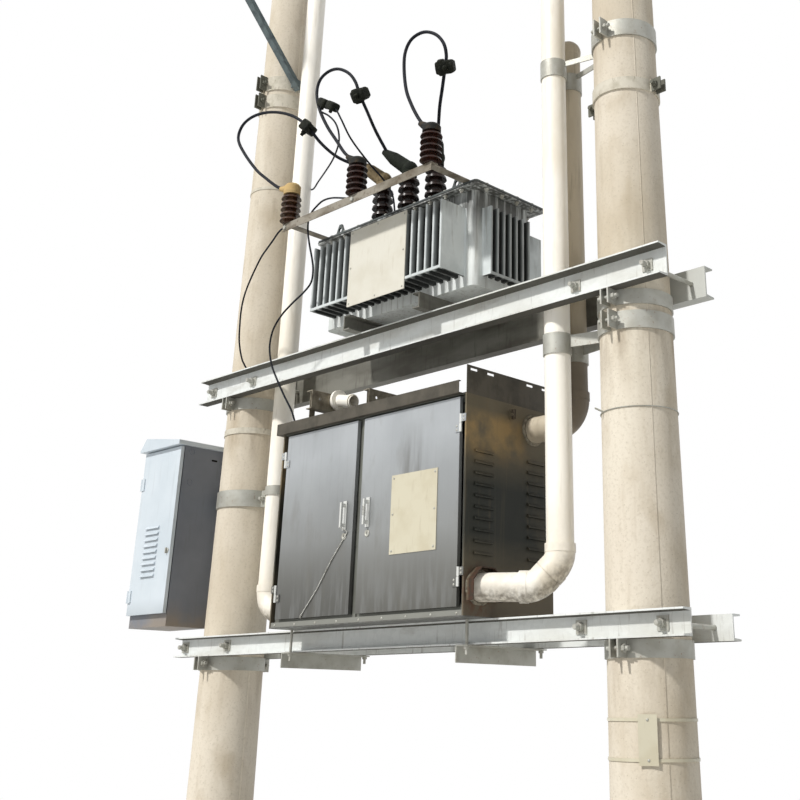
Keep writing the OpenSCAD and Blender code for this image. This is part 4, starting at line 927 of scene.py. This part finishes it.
# Weathered PVC: off-white and satin, dirtier near the cabinet, with drips under the sockets
pvc, shader, where = new_finish("yellowed white pipe plastic", 0.45)
colour = clouded(where, "fffbf1", [
    ("e6dcc8", 0.7, 0.20, 0.44, 0.68, (1, 1, 3)),
    ("b0a187", 0.3, 0.025, 0.58, 0.75, (1, 1, 11)),
])
low_dirt = (ramp_along(where, "Z", 2.20, 1.98), patches(where, 0.06, 0.25, 0.62))
colour = stained(colour, low_dirt, "a39478", 0.4)
facing = add(where, "NewGeometry", output="Normal")
grimy = (ramp_along(facing, "Z", 0.05, -0.6), ramp_along(where, "Z", 2.34, 2.16),
         patches(where, 0.018, 0.30, 0.62))
colour = stained(colour, grimy, "5f5240", 0.7)
surfaced(shader, where, colour, 0.02, 0.0004)
dressed(pvc, "left_conduit", "right_conduit", "roof_spout")

# The back pipe is brown-grey and darkest round its lower bend: partly dirt, partly painted shade from the
# pipe and the beams in front of it
shaded_old_pvc, shader, where = new_finish("aged pipe plastic in painted shade", 0.6)
colour = clouded(where, "cbc0ab", [
    ("a0947f", 0.8, 0.20, 0.42, 0.66, (1, 1, 3)),
    ("72664f", 0.45, 0.025, 0.56, 0.74, (1, 1, 11)),
])
bend = (ramp_along(where, "Z", 3.20, 2.85), ramp_along(where, "X", 2.05, 2.15))
colour = stained(colour, bend, "5a5044", 0.85)
surfaced(shader, where, colour, 0.02, 0.0006)
dressed(shaded_old_pvc, "back_conduit")

# Putty is pressed round three pipe entries: the centre of each ring, and its half width and half height
putty_r = 0.008
putty_lump = 0.18
entry_rings = (((0.730, 0.0, 2.030), 0.058, 0.058), ((1.910, 0.060, 2.668), 0.058, 0.058),
               ((1.910, -0.250, 2.022), 0.067, 0.058))
around = np.linspace(0, 2 * np.pi, 49)
lumpy_r = putty_r * (1 + putty_lump * np.sin(5 * around) * np.sin(3 * around))
putty_rings = [
    tube(np.stack([
        np.full_like(around, x), y + wide * np.cos(around), z + high * np.sin(around),
    ], axis=-1), lumpy_r, 8, (1, 0, 0))
    for (x, y, z), wide, high in entry_rings
]
# Grey putty pressed round by hand: lumpy and cracked
putty = weathered("dried putty", (0.9,), "8d8676", [("5e584b", 0.9, 0.02, 0.42, 0.64)], 0.008, 0.002)
piece("conduit_entry_putty", joined(*putty_rings), putty)


# Small box
# A sheet steel box beside the left pole, dipped in pale grey-blue enamel. Its door has a column of
# louvres and a turn latch, and knock-outs for pipes are stamped in its side.

box_side_x = -0.190
box_face_y = -0.300
box_louvre_x = -0.374
box_louvre_z = 2.205 + 0.0295 * np.arange(9)
box_gap_width = 0.119
box_gap_height = 0.009
box_gap_rise = 0.005

# Stoved enamel: satin and pale on the door, and darker towards the foot
box_paint, shader, where = new_finish("pale box enamel", 0.45)
colour = clouded(where, "ccd5dc", [
    ("bcc7cf", 0.6, 0.25, 0.42, 0.66),
    ("8a8f92", 0.18, 0.014, 0.58, 0.76, (1, 1, 14)),
])
colour = stained(colour, ramp_along(where, "Z", 2.10, 1.97), "8d9497", 0.6)
surfaced(shader, where, colour, 0.004, 0.0002)
dressed(box_paint, "small_box_roof", "small_box_door")

# The body in the same enamel, painted a darker grey: painted shade on the sides, which face away from the
# light. Near the foot a tan band is painted reflection
shaded_box_paint, shader, where = new_finish("box enamel in painted shade", 0.5)
colour = clouded(where, "767b84", [
    ("686d77", 0.7, 0.25, 0.40, 0.66),
    ("4f4e4c", 0.22, 0.016, 0.58, 0.76, (1, 1, 12)),
])
tan_reflection = (ramp_along(where, "Z", 2.10, 1.98), patches(where, 0.20, 0.34, 0.56))
colour = stained(colour, tan_reflection, "94836b", 0.6)
surfaced(shader, where, colour, 0.004, 0.0002)
dressed(shaded_box_paint, "small_box_body")

# The gaps under the door's louvres are thin plates in the body's darker enamel: painted shade
box_gap = plate_shape(box_gap_width, box_gap_height, 0.0006, 0.2, 16)
gaps = [(box_louvre_x, box_face_y, z + box_gap_rise) for z in box_louvre_z]
piece("small_box_louvre_openings", stamped(box_gap, gaps, (0, -1, 0)), shaded_box_paint,
      "small_box_door_leaf")

# Rings stamped round the knock-outs in the side, and a slot between them
knock_ring = turned([(0.0120, 0), (0.0175, 0), (0.0175, 0.0012), (0.0160, 0.0022), (0.0135, 0.0022),
                     (0.0120, 0.0012), (0.0120, 0)], 28)
knock_outs = [(box_side_x, -0.233, 2.824), (box_side_x, -0.228, 2.668)]
piece("small_box_knock_outs", stamped(knock_ring, knock_outs, (1, 0, 0)), shaded_box_paint)
# The slot is a dark plate: painted shade
side_slot = plate_shape(0.034, 0.009, 0.0010, 0.3, 20)
slot_spot = [(box_side_x, -0.095, 2.796)]
piece("small_box_side_slot", stamped(side_slot, slot_spot, (1, 0, 0)), shadow)

# A turn latch: a round boss with a flat thumb bar
latch_spot = (-0.214, box_face_y, 2.322)
latch_boss = turned([(0, 0), (0.0130, 0), (0.0130, 0.0020), (0.0105, 0.0045), (0, 0.0045)], 24)
latch_bar = moved(rounded_block((0.008, 0.030, 0.009), 0.4), (0, 0, 0.0085))
piece("small_box_latch", stamped(joined(latch_boss, latch_bar), [latch_spot], (0, -1, 0)), fittings,
      body="small_box_door_leaf")


# Stage
# A pale floor that turns into the backdrop's white, soft light with one sun, and a camera at the
# photograph's viewing angle.


def aimed(place, yaw, pitch, roll):
    """A camera matrix from a place, a heading turned left of +Y, a pitch upwards and a roll."""
    ahead = np.array([-math.sin(yaw) * math.cos(pitch), math.cos(yaw) * math.cos(pitch), math.sin(pitch)])
    side = np.array([math.cos(yaw), math.sin(yaw), 0.0])
    up = np.cross(side, ahead)
    right = math.cos(roll) * side + math.sin(roll) * up
    top = math.cos(roll) * up - math.sin(roll) * side
    matrix = np.eye(4)
    matrix[:3] = np.stack([right, top, -ahead, place], axis=-1)
    return matrix


# The camera as fitted to the photograph: its place, its turns in radians, its focal length and the
# pixel of its optical axis
frame_px = 800
lens_px = 1145.4
centre_px = (495.9, 223.9)
camera_place = (5.0312, -3.4766, 1.5969)
camera_yaw = 0.75719
camera_pitch = 0.40188
camera_roll = 0.00789
sensor_mm = 36.0
camera_data = bpy.data.cameras.new("camera")
camera = bpy.data.objects.new("camera", camera_data)
bpy.context.scene.collection.objects.link(camera)
camera_data.sensor_width = sensor_mm
camera_data.lens = sensor_mm * lens_px / frame_px
camera_data.shift_x = 0.5 - centre_px[0] / frame_px
camera_data.shift_y = centre_px[1] / frame_px - 0.5
camera_data.clip_end = 200.0
camera_matrix = aimed(camera_place, camera_yaw, camera_pitch, camera_roll)
camera.matrix_world = [list(column) for column in camera_matrix.T]
bpy.context.scene.camera = camera

floor_half = 60.0
floor_middle = (1.25, 0, 0)
fade_from = 7.0
fade_to = 18.0
floor_data = bpy.data.meshes.new("floor")
floor_data.from_pydata(
    [(-floor_half, -floor_half, 0), (floor_half, -floor_half, 0),
     (floor_half, floor_half, 0), (-floor_half, floor_half, 0)], [], [(0, 1, 2, 3)])
floor = bpy.data.objects.new("floor", floor_data)
bpy.context.scene.collection.objects.link(floor)
floor_paint, shader, where = new_finish("studio floor", 0.9)
shader.inputs["Base Color"].default_value = linear("e6e5e2")
# Far from the object the floor turns into the white of the backdrop, so that no horizon shows
far = add(where, "VectorMath", {0: where, 1: floor_middle}, "Value", operation="DISTANCE")
fade = add(where, "MapRange", {"Value": far, "From Min": fade_from, "From Max": fade_to})
glow = add(where, "Emission", {"Color": linear("ffffff"), "Strength": 1.0})
blend = add(where, "MixShader", {0: fade, 1: shader.outputs[0], 2: glow})
link(blend, floor_paint.node_tree.nodes["Material Output"].inputs["Surface"])
floor_data.materials.append(floor_paint)

# Rays that the camera, a gloss or a clear piece sends out meet a white backdrop, and the rest a dim sky
world = bpy.data.worlds.new("studio")
world.use_nodes = True
bpy.context.scene.world = world
sky_strength = 0.32
sky = world.node_tree.nodes["Background"]
sky.inputs["Color"].default_value = linear("eef1f4")
sky.inputs["Strength"].default_value = sky_strength
seen = add(sky, "Background", {"Color": linear("ffffff"), "Strength": 1.0})
rays = add(sky, "LightPath").node.outputs
direct = add(sky, "Math", {0: rays["Is Camera Ray"], 1: rays["Is Glossy Ray"]}, operation="ADD")
white = add(sky, "Math", {0: direct, 1: rays["Is Transmission Ray"]},
            operation="ADD", use_clamp=True)
mixed = add(sky, "MixShader", {0: white, 1: sky.outputs[0], 2: seen})
link(mixed, world.node_tree.nodes["World Output"].inputs["Surface"])

# The sun, high and a little to the right of the object's front
sun_strength = 3.2
sun_width = math.radians(4)
sun_turns = (math.radians(48), 0.0, math.radians(-7))
sun_colour = (1.0, 0.98, 0.95)
sun_data = bpy.data.lights.new("key", "SUN")
sun_data.energy = sun_strength
sun_data.angle = sun_width
sun_data.color = sun_colour
sun = bpy.data.objects.new("key", sun_data)
sun.rotation_euler = sun_turns
bpy.context.scene.collection.objects.link(sun)

bpy.context.scene.view_settings.view_transform = "Standard"
